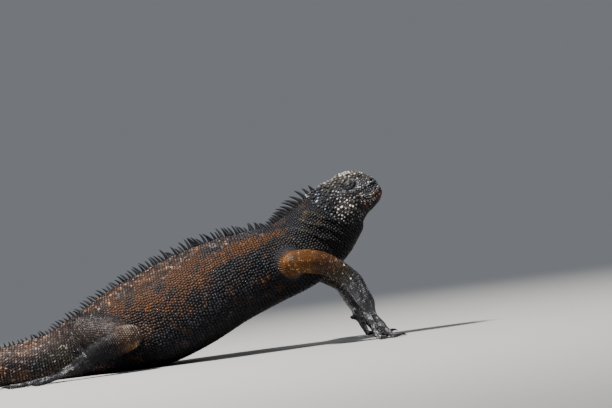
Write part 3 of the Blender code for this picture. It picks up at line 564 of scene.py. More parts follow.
# %% [markdown]
# ## The legs' surface
#
# A limb is an oval carried along a smooth path. Both ends of an upper or lower length are rounded by
# shrinking the oval as a circle does, which gives elbow and knee their domes. Muscles, wrist and the
# tendons on the back of the hand are hills in the oval's size.
# %% Limb surface
class Limb:
    """One tube of a leg: its stations, the share of its length that each end's dome takes, and its relief."""

    def __init__(self, name, table, ends, rings, columns, relief):
        self.name, self.table, self.ends, self.relief = name, table, ends, relief
        self.rings, self.columns = rings, columns
        self.fine = np.linspace(0, len(table) - 1, 240)
        self.reach = arc_length(smooth_rows(table, self.fine)[:, :3])
        self.length = self.reach[-1]

    def frame(self, share):
        """(rows, facing, side, above, shrink) at shares of the length; domes shrink as a circle's edge."""
        place = np.interp(share * self.length, self.reach, self.fine)
        rows = smooth_rows(self.table, place)
        ahead, behind = (smooth_rows(self.table, place + step)[..., :3] for step in (0.1, -0.1))
        facing = unit(ahead - behind)
        level_side = unit(np.cross(np.array([0.0, 0.0, 1.0]), facing))
        roll = rows[..., ROLL, None]
        side = np.cos(roll) * level_side + np.sin(roll) * np.cross(facing, level_side)
        left = [np.clip(part / end, 0, 1) if end else 1.0 for part, end in zip((share, 1 - share), self.ends)]
        shrink = np.sqrt(1 - (1 - left[0]) ** 2) * np.sqrt(1 - (1 - left[1]) ** 2)
        return rows, facing, side, np.cross(facing, side), shrink

    def points(self, share, turn):
        """Points of the limb by share of its length and turn round it."""
        share, turn = np.broadcast_arrays(share, turn)
        rows, _, side, above, shrink = self.frame(share)
        raised = self.relief(share, turn) - COAT_DEPTH
        across = (rows[..., ACROSS] + raised) * shrink * np.cos(turn)
        thick = (rows[..., THICK] + raised) * shrink * np.sin(turn)
        points = rows[..., :3] + across[..., None] * side + thick[..., None] * above
        points[..., 2] = np.maximum(points[..., 2], COAT_DEPTH)
        return points

    def shares(self):
        """Where the rings stand: even along the limb, and crowded as a cosine in the domes."""
        start, end = self.ends
        bow = 1 - np.cos(np.radians(np.linspace(9, 90, 8)[:-1]))
        parts = [start * bow] if start else []
        parts.append(np.linspace(start, 1 - end, self.rings))
        if end:
            parts.append((1 - end * bow)[::-1])
        return np.concatenate(parts)

    def piece(self):
        """The limb as a closed mesh."""
        turn = 2 * math.pi * np.arange(self.columns) / self.columns
        return tube_piece(self.name, list(self.points(self.shares()[:, None], turn[None, :])))


def upper_relief(share, turn):
    """The upper arm or thigh: one long muscle above."""
    return 0.0010 * hill(share, 0.45, 0.3) * np.sin(turn)


def lower_relief(share, turn):
    """The forearm or shank: a muscle near the bend, a slim wrist, and tendons that fan over the hand."""
    over = np.clip(np.sin(turn), 0, 1)
    muscle = 0.0009 * hill(share, 0.3, 0.16) * (1 + np.sin(turn + 0.7)) / 2
    wrist = -0.0006 * hill(share, 0.60, 0.07)
    tendons = 0.0013 * step_up(share, 0.66, 0.04) * over * np.cos(4.5 * math.pi * np.cos(turn) / 2 + math.pi)
    wrinkles = 0.0003 * hill(share, 0.62, 0.08) * np.cos(2 * math.pi * share / 0.03)
    return muscle + wrist + tendons + wrinkles


def digit_relief(share, turn):
    """A digit: three joints that swell and a flatter underside."""
    return 0.00030 * np.cos(2 * math.pi * (share - 0.30) / 0.235) * np.where(np.sin(turn) > -0.3, 1.0, 0.3)


# %% Limbs and the claws' places
limbs, claw_places = {}, {}
for label, leg in LEGS.items():
    upper_rows, lower_rows = leg_stations(leg)
    limbs[label + "_upper"] = Limb(label + "_upper", upper_rows, (0.0, 0.22), 20, 48, upper_relief)
    limbs[label + "_lower"] = Limb(label + "_lower", lower_rows, (0.14, 0.10), 46, 48, lower_relief)
    for number in range(5):
        rows, out = digit_stations(leg, number)
        name = f"{label}_digit_{number + 1}"
        limbs[name] = Limb(name, rows, (0.0, 0.07), 30, 16, digit_relief)
        claw_places[f"{label}_claw_{number + 1}"] = (rows[-1][:3], out)
skin_parts += [limb.piece() for limb in limbs.values()]
print("limbs:", len(limbs), "triangles:", sum(len(part.data.polygons) for part in skin_parts))


# %% [markdown]
# ## One skin
#
# The parts are closed meshes that reach into each other, so one Boolean union makes them a single skin. The
# union leaves a hard crease round every root, which smoothing near the new edges turns into a fold.
# Smoothing moves each point towards the mean of its neighbours, more the nearer it lies to a crease.
# %% Union and smoothing
CREASE_REACH, SMOOTHINGS = 0.0055, 26


def united(parts, name):
    """One mesh object from closed meshes, by a Boolean union of a collection."""
    group = bpy.data.collections.new("parts")
    for part in parts[1:]:
        group.objects.link(part)
    modifier = parts[0].modifiers.new("union", "BOOLEAN")
    modifier.operation, modifier.solver = "UNION", "MANIFOLD"
    modifier.operand_type, modifier.collection = "COLLECTION", group
    graph = bpy.context.evaluated_depsgraph_get()
    mesh = bpy.data.meshes.new_from_object(parts[0].evaluated_get(graph))
    made = bpy.data.objects.new(name, mesh)
    bpy.context.scene.collection.objects.link(made)
    return made


def nearest(points, targets, chunk=2000):
    """(distance, index) of the closest target to each point, worked out a block at a time."""
    distance, index = np.empty(len(points)), np.empty(len(points), int)
    squares = (targets**2).sum(axis=1)
    for start in range(0, len(points), chunk):
        block = points[start : start + chunk]
        away = squares[None, :] - 2 * block @ targets.T
        index[start : start + chunk] = away.argmin(axis=1)
    distance = np.linalg.norm(points - targets[index], axis=1)
    return distance, index


def row_keys(points):
    """One number for each point, the same for points that agree in all three coordinates."""
    return np.ascontiguousarray(points.astype(np.float32)).view(np.int32) @ np.array([1, 31337, 65599])


def smoothed(points, triangles, weight, times):
    """Moves each point by its weight towards the mean of its neighbours, again and again."""
    edges = np.vstack([triangles[:, [0, 1]], triangles[:, [1, 2]], triangles[:, [2, 0]]])
    near = np.concatenate([edges[:, 0], edges[:, 1]])
    far = np.concatenate([edges[:, 1], edges[:, 0]])
    moving = weight[near] > 0.001
    near, far = near[moving], far[moving]
    count = np.maximum(np.bincount(near, minlength=len(points)), 1)[:, None]
    for _ in range(times):
        total = [np.bincount(near, weights=points[far, axis], minlength=len(points)) for axis in range(3)]
        points = points + weight[:, None] * (np.stack(total, axis=1) / count - points)
    return points


def largest_part(points, triangles):
    """The mesh's largest connected surface, so that nothing sealed inside stays."""
    label = np.arange(len(points))
    while True:
        after = label.copy()
        np.minimum.at(after, triangles.ravel(), np.repeat(label[triangles].min(axis=1), 3))
        after = after[after]
        if (after == label).all():
            break
        label = after
    owner = label[triangles[:, 0]]
    kept = triangles[owner == np.bincount(owner).argmax()]
    used, index = np.unique(kept, return_inverse=True)
    return points[used], index.reshape(-1, 3)


sources = np.vstack([mesh_arrays(part)[0] for part in skin_parts])
union = united(skin_parts, "union")
points, triangles = largest_part(*mesh_arrays(union))
fresh = ~np.isin(row_keys(points), row_keys(sources))
crease_distance, _ = nearest(points, points[fresh])
# Near the floor the skin is held in place, and the small roots of the digits get a shorter reach.
ground = np.clip((points[:, 2] - 0.0012) / 0.003, 0, 1)
reach = np.where(points[:, 2] < 0.022, 0.4, 1.0) * CREASE_REACH
weight = np.exp(-((crease_distance / reach) ** 2)) * np.maximum(ground, 0.15)
weight[weight < 0.02] = 0
points = smoothed(points, triangles, weight, SMOOTHINGS)
points[:, 2] = np.maximum(points[:, 2], COAT_DEPTH)
for part in skin_parts + [union]:
    bpy.data.objects.remove(part)
skin = make_piece("skin", points, triangles)
FLESH = [name for name in NODES if "claw" not in name and not name.startswith("eye")]
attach(skin, "root")
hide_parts(*FLESH)
print("skin:", len(points), "points,", len(triangles), "triangles,", int(fresh.sum()), "on creases")


# %% [markdown]
# ## Eyes and lids
#
# A basking iguana keeps its eyes nearly shut. Each eye is a ball in its socket, and over it lie two
# wrinkled lids that leave a narrow slit. A lid is a patch of a shallow dome, cut off along the slit, with
# ring-shaped folds.
# %% Eyes and lids
SLIT_HALF_LENGTH, SLIT_HALF_HEIGHT, SLIT_TILT = 0.0052, 0.0008, math.radians(10)


def grid_faces(rows, columns):
    """Two triangles for each cell of a grid of points that lie row after row."""
    row, column = np.meshgrid(np.arange(rows - 1), np.arange(columns - 1), indexing="ij")
    a = row * columns + column
    b, c, d = a + 1, a + columns + 1, a + columns
    return np.concatenate([np.stack(half, -1).reshape(-1, 3) for half in ((a, b, c), (a, c, d))])


def eye_ball(side):
    """A sphere whose poles point forward and back: sine and cosine of two angles."""
    angle = np.linspace(0.06, math.pi - 0.06, 22)[:, None]
    turn = 2 * math.pi * np.arange(32)[None, :] / 32
    forward = EYE_FORWARD - EYE_RADIUS * np.cos(angle) + 0 * turn
    out = side * EYE_SIDE + EYE_RADIUS * np.sin(angle) * np.cos(turn)
    up = EYE_UP + EYE_RADIUS * np.sin(angle) * np.sin(turn)
    return list(head_point(forward, out, up))


def lid_grid(side, upper, rows=16, columns=40):
    """A lid as a grid from the slit (row 1) to where it sinks into the skin, with its edge curled in (row
    0). The dome is a half ellipse in depth; folds are a cosine of the share between slit and outer edge."""
    share = np.concatenate([[0.0], np.linspace(0, 1, rows) ** 1.1])[:, None]
    edge = np.concatenate([[1.0], np.zeros(rows)])[:, None]
    along = -LID_HALF_LENGTH * np.cos(math.pi * np.linspace(0.02, 0.98, columns))[None, :]
    slit = SLIT_HALF_HEIGHT * np.clip(1 - (along / SLIT_HALF_LENGTH) ** 2, 0, 1) * (1.3 if upper else 0.7)
    outer = LID_HALF_HEIGHT * np.sqrt(1 - (along / (1.02 * LID_HALF_LENGTH)) ** 2)
    height = slit + (np.maximum(outer, slit + 0.0002) - slit) * share
    dome = 1 - (along / (1.05 * LID_HALF_LENGTH)) ** 2 - (height / (1.10 * LID_HALF_HEIGHT)) ** 2
    depth = LID_DEPTH * np.sqrt(np.clip(dome, 0.02, 1)) - 0.0010 * edge
    depth += 0.00022 * np.cos(2 * math.pi * 3.4 * share) * np.sin(math.pi * np.clip(share, 0, 1)) ** 0.5
    depth += 0.00030 * hill(share, 0.05, 0.06) * (1 - edge)
    height = height * (1 if upper else -1)
    cosine, sine = math.cos(SLIT_TILT), math.sin(SLIT_TILT)
    forward = EYE_FORWARD + along * cosine - height * sine
    up = EYE_UP + along * sine + height * cosine
    return head_point(forward, side * (EYE_SIDE + depth), up)


eyes, lids = [], []
for side, label in ((1, "left"), (-1, "right")):
    eye = tube_piece("eyeball_" + label, eye_ball(side))
    eyes.append(eye)
    grids = [lid_grid(side, upper) for upper in (True, False)]
    rows, columns = grids[0].shape[:2]
    faces = grid_faces(rows, columns)
    turned = faces[:, ::-1]
    both = [turned, faces] if side > 0 else [faces, turned]
    both[1] = both[1] + rows * columns
    lid = make_piece("lids_" + label, np.vstack([grid.reshape(-1, 3) for grid in grids]), np.vstack(both))
    thick = lid.modifiers.new("thickness", "SOLIDIFY")
    thick.thickness, thick.offset = 0.0005, -1.0
    lids.append(lid)
    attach(eye, "root")
    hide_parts("eye_" + label)
    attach(lid, "root")
print("eyes and lids:", [piece.name for piece in eyes + lids])

# %% [markdown]
# ## The crest
#
# Blade-like spines stand in one row from the nape to the end of the tail: longest and thickest on the nape,
# close and slim on the back, short on the tail. Each is a tapered tube that bends backwards, and all of
# them are worked out at once from arrays of their roots, lengths and leans.
# %% Spines
NUCHAL = (TRUNK_START + 8.35, HEAD_START - 1.50, 14)
DORSAL = (TRUNK_START + 0.8, TRUNK_START + 8.28, 72)
CAUDAL = (0.6, TRUNK_START + 0.78, 96)
CREST_MARKS = (0, 2, 6, TRUNK_START, TRUNK_START + 1.5, TRUNK_START + 4, TRUNK_START + 6, TRUNK_START + 8.3)
CREST_LENGTHS = (0.0022, 0.0036, 0.0050, 0.0060, 0.0074, 0.0112, 0.0124, 0.0070)
NUCHAL_SHAPE = ((0.0, 0.25, 0.6, 0.85, 1.0), (0.0070, 0.0115, 0.0160, 0.0125, 0.0075))
NUCHAL_LEANS = ((0.0, 0.33, 0.67, 1.0), (0.20, 0.38, 0.28, -0.25))
SPINE_SIDES, SPINE_LEVELS, SPINE_ROOT, SPINE_BEND = 8, 9, 0.0022, 0.24


def crest_frame(place):
    """(point, outward, backward, left) on the crest, from small steps along the body."""
    point = body_points(place, math.pi / 2)
    ahead = unit(body_points(place + 0.02, math.pi / 2) - body_points(place - 0.02, math.pi / 2))
    left = body_frame(place)[3]
    return point, unit(np.cross(ahead, left)), -ahead, left


def each_spine(values):
    """One number or one vector for each spine, made ready to meet every level and side of it."""
    return values.reshape(len(values), 1, 1, -1)


def spines(name, base, outward, back, left, length, along, across, lean, sway):
    """All spines of one run: rings that shrink as a power of the share left, on an axis that leaves along
    the outward direction and bends backwards as the square of its share."""
    out = unit(outward + lean[:, None] * back + sway[:, None] * left)
    back = unit(back - (out * back).sum(axis=1, keepdims=True) * out)
    side = np.cross(out, back)
    share = np.linspace(0, 0.97, SPINE_LEVELS)[None, :, None, None]
    turn = 2 * math.pi * (np.arange(SPINE_SIDES)[None, None, :, None] + 0.5) / SPINE_SIDES
    axis = each_spine(base) + each_spine(out) * (each_spine(length) * share - SPINE_ROOT * (share == 0))
    axis = axis + each_spine(back) * each_spine(length) * SPINE_BEND * share**2
    taper = (1 - share) ** 0.52 * (1 + 0.25 * np.exp(-share / 0.08))
    ring = np.cos(turn) * each_spine(side) * each_spine(across)
    ring = ring + np.sin(turn) * each_spine(back) * each_spine(along)
    points = axis + ring * taper
    start, tip = points[:, 0].mean(axis=1), points[:, -1].mean(axis=1) + 0.02 * length[:, None] * out
    count = SPINE_LEVELS * SPINE_SIDES
    points = np.concatenate([points.reshape(len(base), count, 3), start[:, None], tip[:, None]], axis=1)
    template = ring_faces([SPINE_SIDES] * SPINE_LEVELS)[:, ::-1]
    faces = template[None] + (np.arange(len(base)) * (count + 2))[:, None, None]
    return make_piece(name, points.reshape(-1, 3), faces.reshape(-1, 3))


draw = np.random.default_rng(11)
crest_pieces = []
for name, run in (("crest_nape", NUCHAL), ("crest_back", DORSAL), ("crest_tail", CAUDAL)):
    place = even_places(*run)
    count = len(place)
    place = place + draw.uniform(-0.12, 0.12, count) * np.gradient(place)
    share = (place - run[0]) / (run[1] - run[0])
    if name == "crest_nape":
        length = np.interp(share, *NUCHAL_SHAPE) * draw.uniform(0.88, 1.10, count)
        lean = np.interp(share, *NUCHAL_LEANS) + draw.normal(0, 0.04, count)
        sway = draw.normal(0, 0.06, count)
        along, across = np.full(count, 0.00215), np.full(count, 0.00150)
    else:
        length = np.interp(place, CREST_MARKS, CREST_LENGTHS) * draw.uniform(0.64, 1.10, count)
        lean = 0.16 + 0.10 * np.sin(11.0 * place) * draw.uniform(0, 1, count)
        lean = lean + draw.normal(0, 0.11, count)
        sway = draw.normal(0, 0.12, count)
        along, across = 0.00070 + 0.088 * length, 0.00060 + 0.058 * length
    piece = spines(name, *crest_frame(place), length, along, across, lean, sway)
    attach(piece, "root")
    crest_pieces.append(piece)
    print(name, count, "spines, longest", round(float(length.max()) * 1000, 1), "mm")

# %% [markdown]
# ## Claws
#
# The claws that the animal climbs with are strong hooks, deeper than they are wide. Each is the same kind
# of tapered tube, on an axis that arches and comes down to the ground.
# %% Claws
CLAW_LENGTH, CLAW_RADIUS, CLAW_ARCH = 0.0096, 0.0018, 0.0062
CLAW_SIDES, CLAW_LEVELS = 12, 14


def claw_rings(tip, out):
    """Rings along an axis whose height is an arch, share squared times what is left, less a drop to the
    floor."""
    start = tip - 0.0010 * out + np.array([0, 0, 0.0003])
    share = np.linspace(0, 0.985, CLAW_LEVELS)[:, None, None]
    turn = 2 * math.pi * np.arange(CLAW_SIDES)[None, :, None] / CLAW_SIDES
    rise = CLAW_ARCH * share**2 * (1 - share) - (start[2] - 0.0006) * share**3
    axis = start + out * CLAW_LENGTH * share + np.array([0, 0, 1.0]) * rise
    size = CLAW_RADIUS * (1 - share) ** 0.75 + 0.00012
    side = np.array([-out[1], out[0], 0])
    ring = 0.72 * np.cos(turn) * side + (np.sin(turn) + 0.12 * np.cos(2 * turn)) * np.array([0, 0, 1.0])
    points = axis + size * ring
    points[..., 2] = np.maximum(points[..., 2], 0.0002)
    return points


def with_poles(rings):
    """The points of one claw, ring after ring, and then the middles of its first and its last ring."""
    return np.vstack([rings.reshape(-1, 3), rings[0].mean(axis=0), rings[-1].mean(axis=0)])


claw_pieces = []
for label in LEGS:
    names = [name for name in claw_places if name.startswith(label)]
    rings = [claw_rings(*claw_places[name]) for name in names]
    count = CLAW_LEVELS * CLAW_SIDES
    points = np.vstack([with_poles(claw) for claw in rings])
    template = ring_faces([CLAW_SIDES] * CLAW_LEVELS)
    faces = np.vstack([template + k * (count + 2) for k in range(len(names))])
    piece = make_piece("claws_" + label, points, faces)
    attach(piece, "root")
    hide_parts(*names)
    claw_pieces.append(piece)
print("claws:", sum(len(piece.data.polygons) for piece in claw_pieces), "triangles")

# %% [markdown]
# ## Where a point lies on the animal
#
# Markings must be the same on the skin and on the scales, so they are formulas of a point's own place: how
# far along the body and round it, or how far down which leg. Each point is compared with the axes of body
# and legs.
# %% Maps of the animal
AXIS_PLACE = even_places(0, SNOUT, 420)
_, _, AXIS_MIDDLE, AXIS_SIDE, AXIS_UPRIGHT = body_frame(AXIS_PLACE)
AXIS_AHEAD = np.cross(AXIS_SIDE, AXIS_UPRIGHT)
AXIS_STEP = np.linalg.norm(np.gradient(AXIS_MIDDLE, axis=0), axis=1)
PLACES_PER_METRE = np.gradient(AXIS_PLACE) / np.maximum(AXIS_STEP, 1e-6)
LIMB_NAMES = np.array(list(limbs))
LIMB_SHARES = np.linspace(0, 1, 40)
LIMB_AXES = np.vstack([limb.frame(LIMB_SHARES)[0] for limb in limbs.values()])
LIMB_SIZES = np.maximum(LIMB_AXES[:, ACROSS], LIMB_AXES[:, THICK])
print("axes:", len(AXIS_PLACE), "places on the body,", len(LIMB_AXES), "on the limbs")


def along_body(points):
    """(place, turn) of points: the nearest section by its middle, then the angle round that section."""
    _, index = nearest(points, AXIS_MIDDLE)
    away = points - AXIS_MIDDLE[index]
    ahead = (away * AXIS_AHEAD[index]).sum(axis=1)
    across, up = (away * AXIS_SIDE[index]).sum(axis=1), (away * AXIS_UPRIGHT[index]).sum(axis=1)
    place = AXIS_PLACE[index] + np.clip(ahead, -0.002, 0.002) * PLACES_PER_METRE[index]
    return np.clip(place, 0, SNOUT), np.arctan2(up, across)


def along_limbs(points, chunk=2000):
    """(name, share, ratio) of the limb closest to each point, the ratio being the distance to its axis by
    its own half size: about 1 on the limb's skin and more elsewhere."""
    ratio, index = np.empty(len(points)), np.empty(len(points), int)
    for start in range(0, len(points), chunk):
        block = points[start : start + chunk]
        away = np.linalg.norm(block[:, None] - LIMB_AXES[None, :, :3], axis=2) / LIMB_SIZES[None]
        index[start : start + chunk] = away.argmin(axis=1)
        ratio[start : start + chunk] = away.min(axis=1)
    return LIMB_NAMES[index // len(LIMB_SHARES)], LIMB_SHARES[index % len(LIMB_SHARES)], ratio


# %% [markdown]
# ## The markings
#
# The animal is charcoal, with rust mottles high on the flank, brown rows over the hips and tail, olive edges
# on the folds of the neck, ochre elbows and knees, cream tubercles on the jowls and grey hands with a painted
# sheen. A last share is painted shade: black under the body, in the hollows of the head and on the hind legs.
# Each marking is a share from 0 to 1, a hill over its own region broken up by drifts. The material turns the
# shares into colour.
# %% What the markings ask of a point
MARKS = ("rust", "earth", "olive", "ochre", "cream", "flesh", "silver", "night")


def spot(points):
    """Where points lie on body, limbs and head, with three drifts that break up the edges of markings."""
    place, turn = along_body(points)
    names, share, ratio = along_limbs(points)
    forward, _, up = in_head(points)
    return SimpleNamespace(
        trunk=place - TRUNK_START,
        level=np.sin(turn),
        crests=np.clip(folds(place, turn) / 0.0011, 0, 1),
        height=points[:, 2],
        forward=forward,
        up=up,
        head=step_up(forward, -0.012, 0.002) * step_up(place, HEAD_START - 2.2, 0.3),
        share=share,
        on_limb=1 - step_up(ratio, 1.22, 0.04),
        fore=np.char.startswith(names, "fore"),
        lower=np.char.endswith(names, "lower"),
        upper=np.char.endswith(names, "upper"),
        coarse=drift(points, 0.030, 1),
        middling=drift(points, 0.012, 2),
        fine=drift(points, 0.0055, 3),
    )


# %% Markings of the body
RUST_LEVEL = ((1.0, 3.0, 6.0, 7.0, 8.6), (0.42, 0.55, 0.60, 0.70, 0.84))
RUST_WIDTH = ((1.0, 2.5, 4.5, 6.5, 8.6), (0.10, 0.24, 0.30, 0.17, 0.07))


def rust_mottles(at):
    """Rust along a band high on the flank and in a patch below it, broken up by the drifts."""
    band = hill(at.level, np.interp(at.trunk, *RUST_LEVEL), np.interp(at.trunk, *RUST_WIDTH))
    band = band * step_up(at.trunk, 2.2, 0.35) * (1 - step_up(at.trunk, 8.7, 0.2))
    patch = 0.42 * hill(at.trunk, 4.6, 1.0) * hill(at.level, 0.12, 0.22)
    return step_up(1.35 * band + patch + 0.30 * at.coarse + 0.52 * at.middling + 0.42 * at.fine, 0.84, 0.12)


def brown_rows(at, hip):
    """Brown over the tail and along the rows of the back, weaker on the hip."""
    back = step_up(at.level, 0.30, 0.12) * step_up(at.trunk, -9.0, 0.5) * (1 - step_up(at.trunk, 6.4, 0.8))
    tail = 1 - step_up(at.trunk, 1.2, 0.5)
    brown = np.maximum(0.80 * back, tail) * (1 - 0.75 * hip)
    return np.clip(brown + 0.14 * at.coarse + 0.16 * at.middling, 0, 1)


def olive_folds(at):
    """Olive on the crests of the neck's folds and over the hip."""
    neck = hill(at.trunk, 9.7, 1.35) * step_up(at.level, -0.25, 0.15)
    hip = 0.55 * hill(at.trunk, 1.6, 0.9) * hill(at.level, 0.15, 0.35)
    return np.clip(neck * (1.6 * at.crests + 0.3 * at.middling) + hip, 0, 1)


# %% Markings of legs and head
def on_bend(at, lower_share, lower_width, upper_share, upper_width):
    """A share round elbow or knee: the start of the lower length and the end of the upper one."""
    after = 1 - step_up(at.share, lower_share, lower_width)
    before = step_up(at.share, upper_share, upper_width)
    return np.where(at.lower, after, np.where(at.upper, before, 0))


def head_regions(at):
    """{name: share} of the head's regions, each a product of hills and steps seen from the side."""
    forward, up = at.forward, at.up
    return {
        "jowl": at.head * hill(forward, 0.002, 0.014) * hill(up, -0.007, 0.012),
        "crown": at.head * step_up(up, 0.0165 - 0.25 * np.maximum(forward - 0.014, 0), 0.0020),
        "lip": at.head * step_up(forward, 0.0150, 0.001) * hill(up - mouth_up(forward), 0.0040, 0.0026),
        "muzzle": at.head * hill(forward, 0.0310, 0.0080) * hill(up, 0.0075, 0.0026),
        "socket": hill(eye_reach(forward, up), 1.45, 0.3),
        "snout": at.head * hill(forward, 0.0290, 0.0085) * hill(up, 0.0045, 0.0075),
        "corner": hill(forward, 0.0200, 0.0048) * hill(up, -0.0140, 0.0042),
        "chin": step_up(forward, 0.0300, 0.0016) * hill(up, -0.0080, 0.0045),
    }


def shadows(at, jowl, hip, shank):
    """Painted shade: black under throat and belly and, weaker, behind the thigh, in the mouth, in the furrow
    over the lip and in the nostrils; on the hind legs the black is their dark colour and painted shade both.
    """
    throat = 1 - step_up(at.level, 0.12 + 0.30 * step_up(at.trunk, 10.2, 0.4), 0.12)
    throat = step_up(at.trunk, 8.9, 0.5) * throat * (1 - np.clip(1.3 * jowl, 0, 1))
    belly = (1 - step_up(at.level, -0.62, 0.08)) * step_up(at.trunk, 0.5, 0.5)
    lip = at.head * step_up(at.forward, 0.012, 0.003) * step_up(at.up, -0.012, 0.002)
    under = np.clip(np.maximum(throat, belly) * (1 - lip), 0, 1)
    under = np.maximum(under, 0.35 * hip) * (1 - at.on_limb)
    furrow = hill(at.up - furrow_up(at.forward), 0, 0.0012)
    gap = np.maximum(furrow, hill(at.up - mouth_up(at.forward), 0, 0.0009))
    gap = at.head * step_up(at.forward, 0.016, 0.001) * gap
    nostril = hill(nostril_reach(at.forward, at.up), 0.0, 0.0012)
    leg = np.where(at.lower, 0.90, 0.62) * shank
    return np.maximum(np.maximum(under, leg), np.maximum(gap, nostril))


# %% Markings
def markings(points):
    """{name: share of each marking at each point}, from the markings of body, legs and head."""
    at = spot(points)
    face = head_regions(at)
    on_limb, off_limb = at.on_limb, 1 - at.on_limb
    hip = hill(at.trunk, 0.9, 0.9) * hill(at.level, 0.05, 0.38)
    elbow = on_limb * at.fore * on_bend(at, 0.40, 0.10, 0.72, 0.06)
    knee = on_bend(at, 0.24, 0.04, 0.92, 0.02) * on_limb * ~at.fore
    shank = on_limb * ~at.fore * (1 - knee)
    sleeve = on_limb * at.fore * at.lower * hill(at.share, 0.56, 0.13)
    hand = np.where(at.lower, step_up(at.share, 0.62, 0.05), np.where(at.upper, 0.0, 1.0))
    hand = on_limb * hand * np.where(at.fore, 1.0, 0.4)
    # Painted light: the ochre of the elbow is full only on its upper side and darker below, where shade
    # falls.
    painted_light_above = 0.30 + 0.70 * step_up(at.height, 0.066, 0.005)
    cream = 1.1 * face["jowl"] + 0.28 * face["crown"] + 0.7 * face["lip"] + 0.3 * face["muzzle"]
    cream = np.clip(cream + 0.25 * face["socket"] * at.head, 0, 1)
    olive = np.maximum(olive_folds(at) * off_limb, 0.75 * sleeve)
    earth = brown_rows(at, hip) * off_limb * (1 - at.head)
    mark = {
        "rust": rust_mottles(at) * off_limb * (1 - at.head),
        "earth": np.maximum(earth, 0.85 * shank * hill(at.height, 0.045, 0.018)),
        "olive": np.maximum(olive, 0.5 * face["crown"]),
        "ochre": np.clip((elbow * painted_light_above + knee) * (1 + 0.3 * at.middling), 0, 1),
        # The top of the knee is cream: its pale colour and painted light both.
        "cream": np.maximum(cream, 0.8 * (knee * step_up(at.height, 0.026, 0.004))),
        "flesh": np.clip(at.head * (1.2 * face["corner"] + 0.95 * face["chin"]), 0, 1),
        # Hands and snout: grey skin with a painted sheen, its light colour nearly white.
        "silver": np.clip(hand + 0.75 * face["snout"], 0, 1),
        # Painted shade: black where shade falls, under the body and in the hollows of the head, and on the
        # hind legs.
        "night": shadows(at, face["jowl"], hip, shank),
    }
    return {name: np.clip(mark[name], 0, 1) for name in MARKS}


def set_share(obj, name, values):
    """A named number on each vertex, which materials can read."""
    layer = obj.data.attributes.new(name, "FLOAT", "POINT")
    layer.data.foreach_set("value", np.ascontiguousarray(values, np.float32))


skin_points, skin_triangles = mesh_arrays(skin)
skin_marks = markings(skin_points)
for name, values in skin_marks.items():
    set_share(skin, name, values)
# The skin gets no shade share, so it shows only the dark colours: painted shade in the gaps between the
# scales.
set_share(skin, "tone", np.full(len(skin_points), 0.12))
print("markings:", {name: round(float(values.mean()), 3) for name, values in skin_marks.items()})

# %% [markdown]
# ## Roots of the scales
#
# Scales sit in rows round the body and the limbs, each row shifted by half a scale like roof tiles. A row
# takes as many scales as its own length allows. The pitch changes along the animal: coarse on the tail,
# fine on the feet.
# %% Rows of roots
BODY_PITCH = (
    (0, 6, TRUNK_START, TRUNK_START + 2, TRUNK_START + 8, HEAD_START - 2, HEAD_START + 3, SNOUT),
    (0.0017, 0.0025, 0.0031, 0.0029, 0.0029, 0.0026, 0.0021, 0.0016),
)


def rows_of_roots(position, reach, pitch, outline):
    """(position, turn, pitch) of roots. The rows stand a pitch apart along the reach; in each row the turns
    part the outline into equal arcs of about a pitch, half an arc further on in every second row."""
    gone = np.concatenate([[0], np.cumsum(np.diff(reach) * 2 / (pitch[1:] + pitch[:-1]))])
    rows = np.interp(np.arange(0.5, gone[-1]), gone, position)
    pitches = np.interp(rows, position, pitch)
    found = []
    fine = np.linspace(0, 2 * math.pi, 97)
    outlines = outline(rows[:, None], fine[None, :])
    arcs = np.linalg.norm(np.diff(outlines, axis=1), axis=2).cumsum(axis=1)
    for number, (row, step, arc) in enumerate(zip(rows, pitches, arcs)):
        count = max(int(round(arc[-1] / step)), 3)
        wanted = (np.arange(count) + 0.5 * (number % 2)) / count * arc[-1]
        turn = np.interp(wanted, np.concatenate([[0], arc]), fine)
        found.append(np.stack([np.full(count, row), turn, np.full(count, step)], axis=1))
    return np.vstack(found).T


def on_skin(wanted):
    """The nearest places on the finished skin, found by shrinking a cloud of points onto it."""
    mesh = bpy.data.meshes.new("cloud")
    mesh.vertices.add(len(wanted))
    mesh.vertices.foreach_set("co", (wanted + SHIFT).astype(np.float32).ravel())
    cloud = bpy.data.objects.new("cloud", mesh)
    bpy.context.scene.collection.objects.link(cloud)
    wrap = cloud.modifiers.new("wrap", "SHRINKWRAP")
    wrap.target, wrap.wrap_method, wrap.wrap_mode = skin, "NEAREST_SURFACEPOINT", "ON_SURFACE"
    shrunk = cloud.evaluated_get(bpy.context.evaluated_depsgraph_get()).data
    points = np.empty(len(wanted) * 3, np.float32)
    shrunk.vertices.foreach_get("co", points)
    bpy.data.objects.remove(cloud)
    bpy.data.meshes.remove(mesh)
    return points.reshape(-1, 3).astype(float) - SHIFT


def root_frames(surface, position, turn, pitch, along):
    """The coat of roots moved onto the skin: {point, ahead, out, pitch, position, turn}. A root that has to
    move far lay inside another part of the animal and is dropped. Each frame comes from four more points on
    the skin, a little ahead, behind and to both sides."""
    point = surface(position, turn)
    ahead = unit(surface(position + along, turn) - surface(position - along, turn))
    round_step = unit(surface(position, turn + 0.02) - surface(position, turn - 0.02))
    moved = on_skin(point)
    kept = np.linalg.norm(moved - point, axis=1) < 0.0020
    point, ahead, round_step, pitch = moved[kept], ahead[kept], round_step[kept], pitch[kept]
    small = 0.35 * pitch[:, None]
    forth, back = on_skin(point + small * ahead), on_skin(point - small * ahead)
    more, less = on_skin(point + small * round_step), on_skin(point - small * round_step)
    ahead, left = unit(forth - back), unit(more - less)
    out = unit(np.cross(ahead, left))
    out = out * np.sign((out * np.cross(ahead, round_step)).sum(axis=1, keepdims=True))
    frames = {"point": point, "ahead": ahead, "out": out, "pitch": pitch}
    return frames | {"position": position[kept], "turn": turn[kept]}


